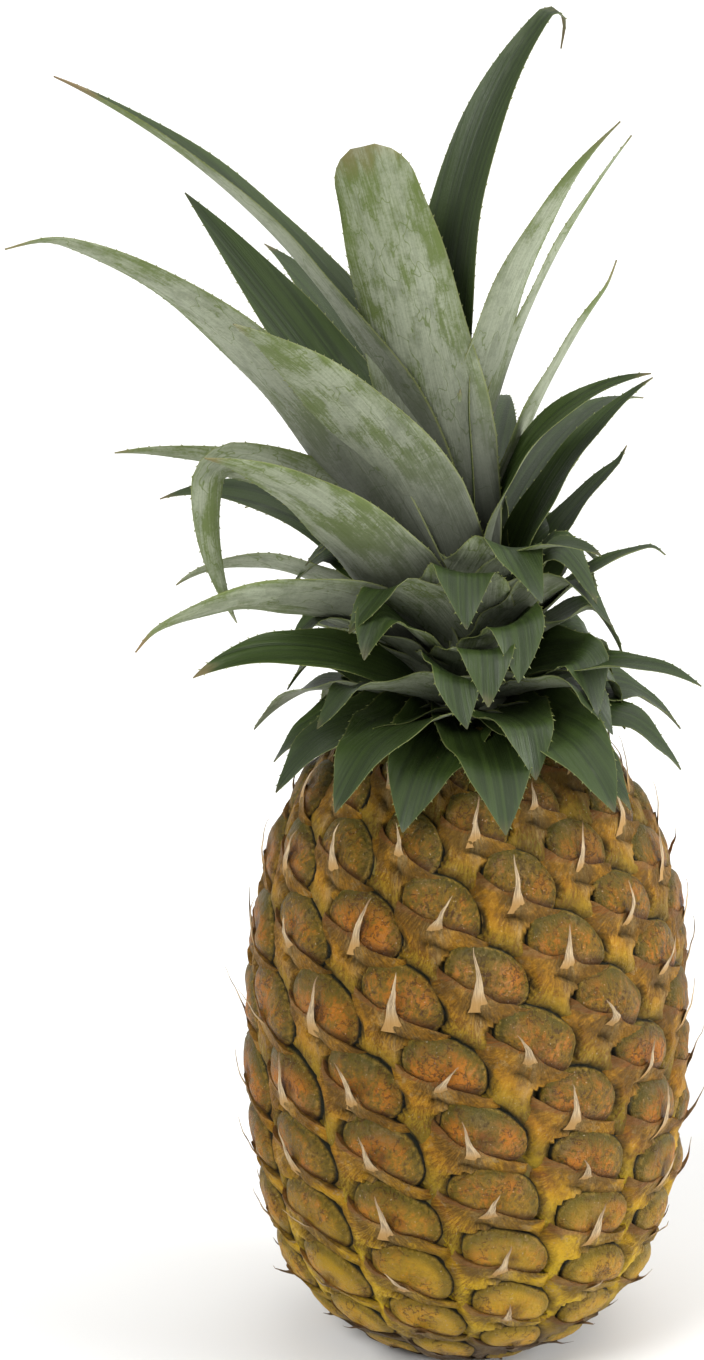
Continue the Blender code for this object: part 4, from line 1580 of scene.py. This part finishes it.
@dataclass(frozen=True)
class Studio:
    """The pale floor, the soft lights and the camera."""

    camera_distance: float = 1.150
    camera_elevation: float = 18.5
    target: tuple[float, float, float] = (-0.0320, 0.0, 0.1917)
    lens: float = 112.7
    floor_size: float = 8.0
    floor_steps: int = 8
    sky_light: float = 0.55

    def build(self) -> None:
        """Set up the studio."""
        self.floor()
        self.light("key", (-0.8, -0.9, 1.1), 2.2, 25)
        self.light("top", (0.25, 0.25, 1.0), 1.3, 60)
        self.light("side", (1.0, -0.2, 0.35), 3.1, 35)
        world = bpy.data.worlds.new("studio")
        world.use_nodes = True
        backdrop = world.node_tree.nodes["Background"]
        nodes = Nodes(world.node_tree)
        nodes.give(backdrop, {"Color": (1.0, 1.0, 1.0, 1.0)})
        seen = nodes.out("ShaderNodeLightPath", output="Is Camera Ray")
        nodes.give(backdrop, {"Strength": self.sky_light + seen * (1.0 - self.sky_light)})
        scene = bpy.context.scene
        scene.world = world
        scene.view_settings.view_transform = "Standard"
        self.camera()

    def floor(self) -> None:
        """Lay the floor."""
        half = self.floor_size / 2
        wide = self.floor_steps + 1
        steps = np.linspace(-half, half, wide)
        points = [(x, y, 0.0) for y in steps for x in steps]
        count = range(self.floor_steps)
        starts = [wide * row + column for row in count for column in count]
        faces = [(start, start + 1, start + wide + 1, start + wide) for start in starts]
        floor = new_body("floor", np.array(points), faces)
        floor.data.materials.append(FloorFinish("studio floor").material())

    def light(self, name: str, towards: tuple[float, float, float], strength: float, spread: float) -> None:
        """Add a soft light.

        Args:
            name: Its name.
            towards: The direction that it shines from.
            strength: Its strength.
            spread: The angle in degrees that it is spread over.
        """
        lamp = bpy.data.lights.new(name, "SUN")
        lamp.angle = math.radians(spread)
        lamp.energy = strength
        body = linked(name, lamp)
        x, y, z = towards
        body.rotation_euler = (math.atan2(math.hypot(x, y), z), 0.0, math.atan2(x, -y))

    def camera(self) -> None:
        """Place the camera at the photograph's angle."""
        data = bpy.data.cameras.new("camera")
        data.lens = self.lens
        data.sensor_width = 36.0
        data.clip_start = 0.01
        data.clip_end = 20.0
        body = linked("camera", data)
        slope = math.radians(self.camera_elevation)
        x, y, z = self.target
        ahead = self.camera_distance * math.cos(slope)
        body.location = (x, y - ahead, z + self.camera_distance * math.sin(slope))
        body.rotation_euler = (math.pi / 2 - slope, 0.0, 0.0)
        bpy.context.scene.camera = body


def main() -> None:
    """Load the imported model, dress it and set up the studio."""
    logging.basicConfig(level=logging.INFO, format="%(message)s")
    for old in list(bpy.data.objects):
        bpy.data.objects.remove(old)
    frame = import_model()
    Rind().build()
    stalk = frame["nodes"]["stalk_end"]
    stalk.data.materials.clear()
    stalk.data.materials.append(StalkFinish("cut stalk").material())
    Crown().build(long_blades())
    Studio().build()


if __name__ == "__main__":
    main()
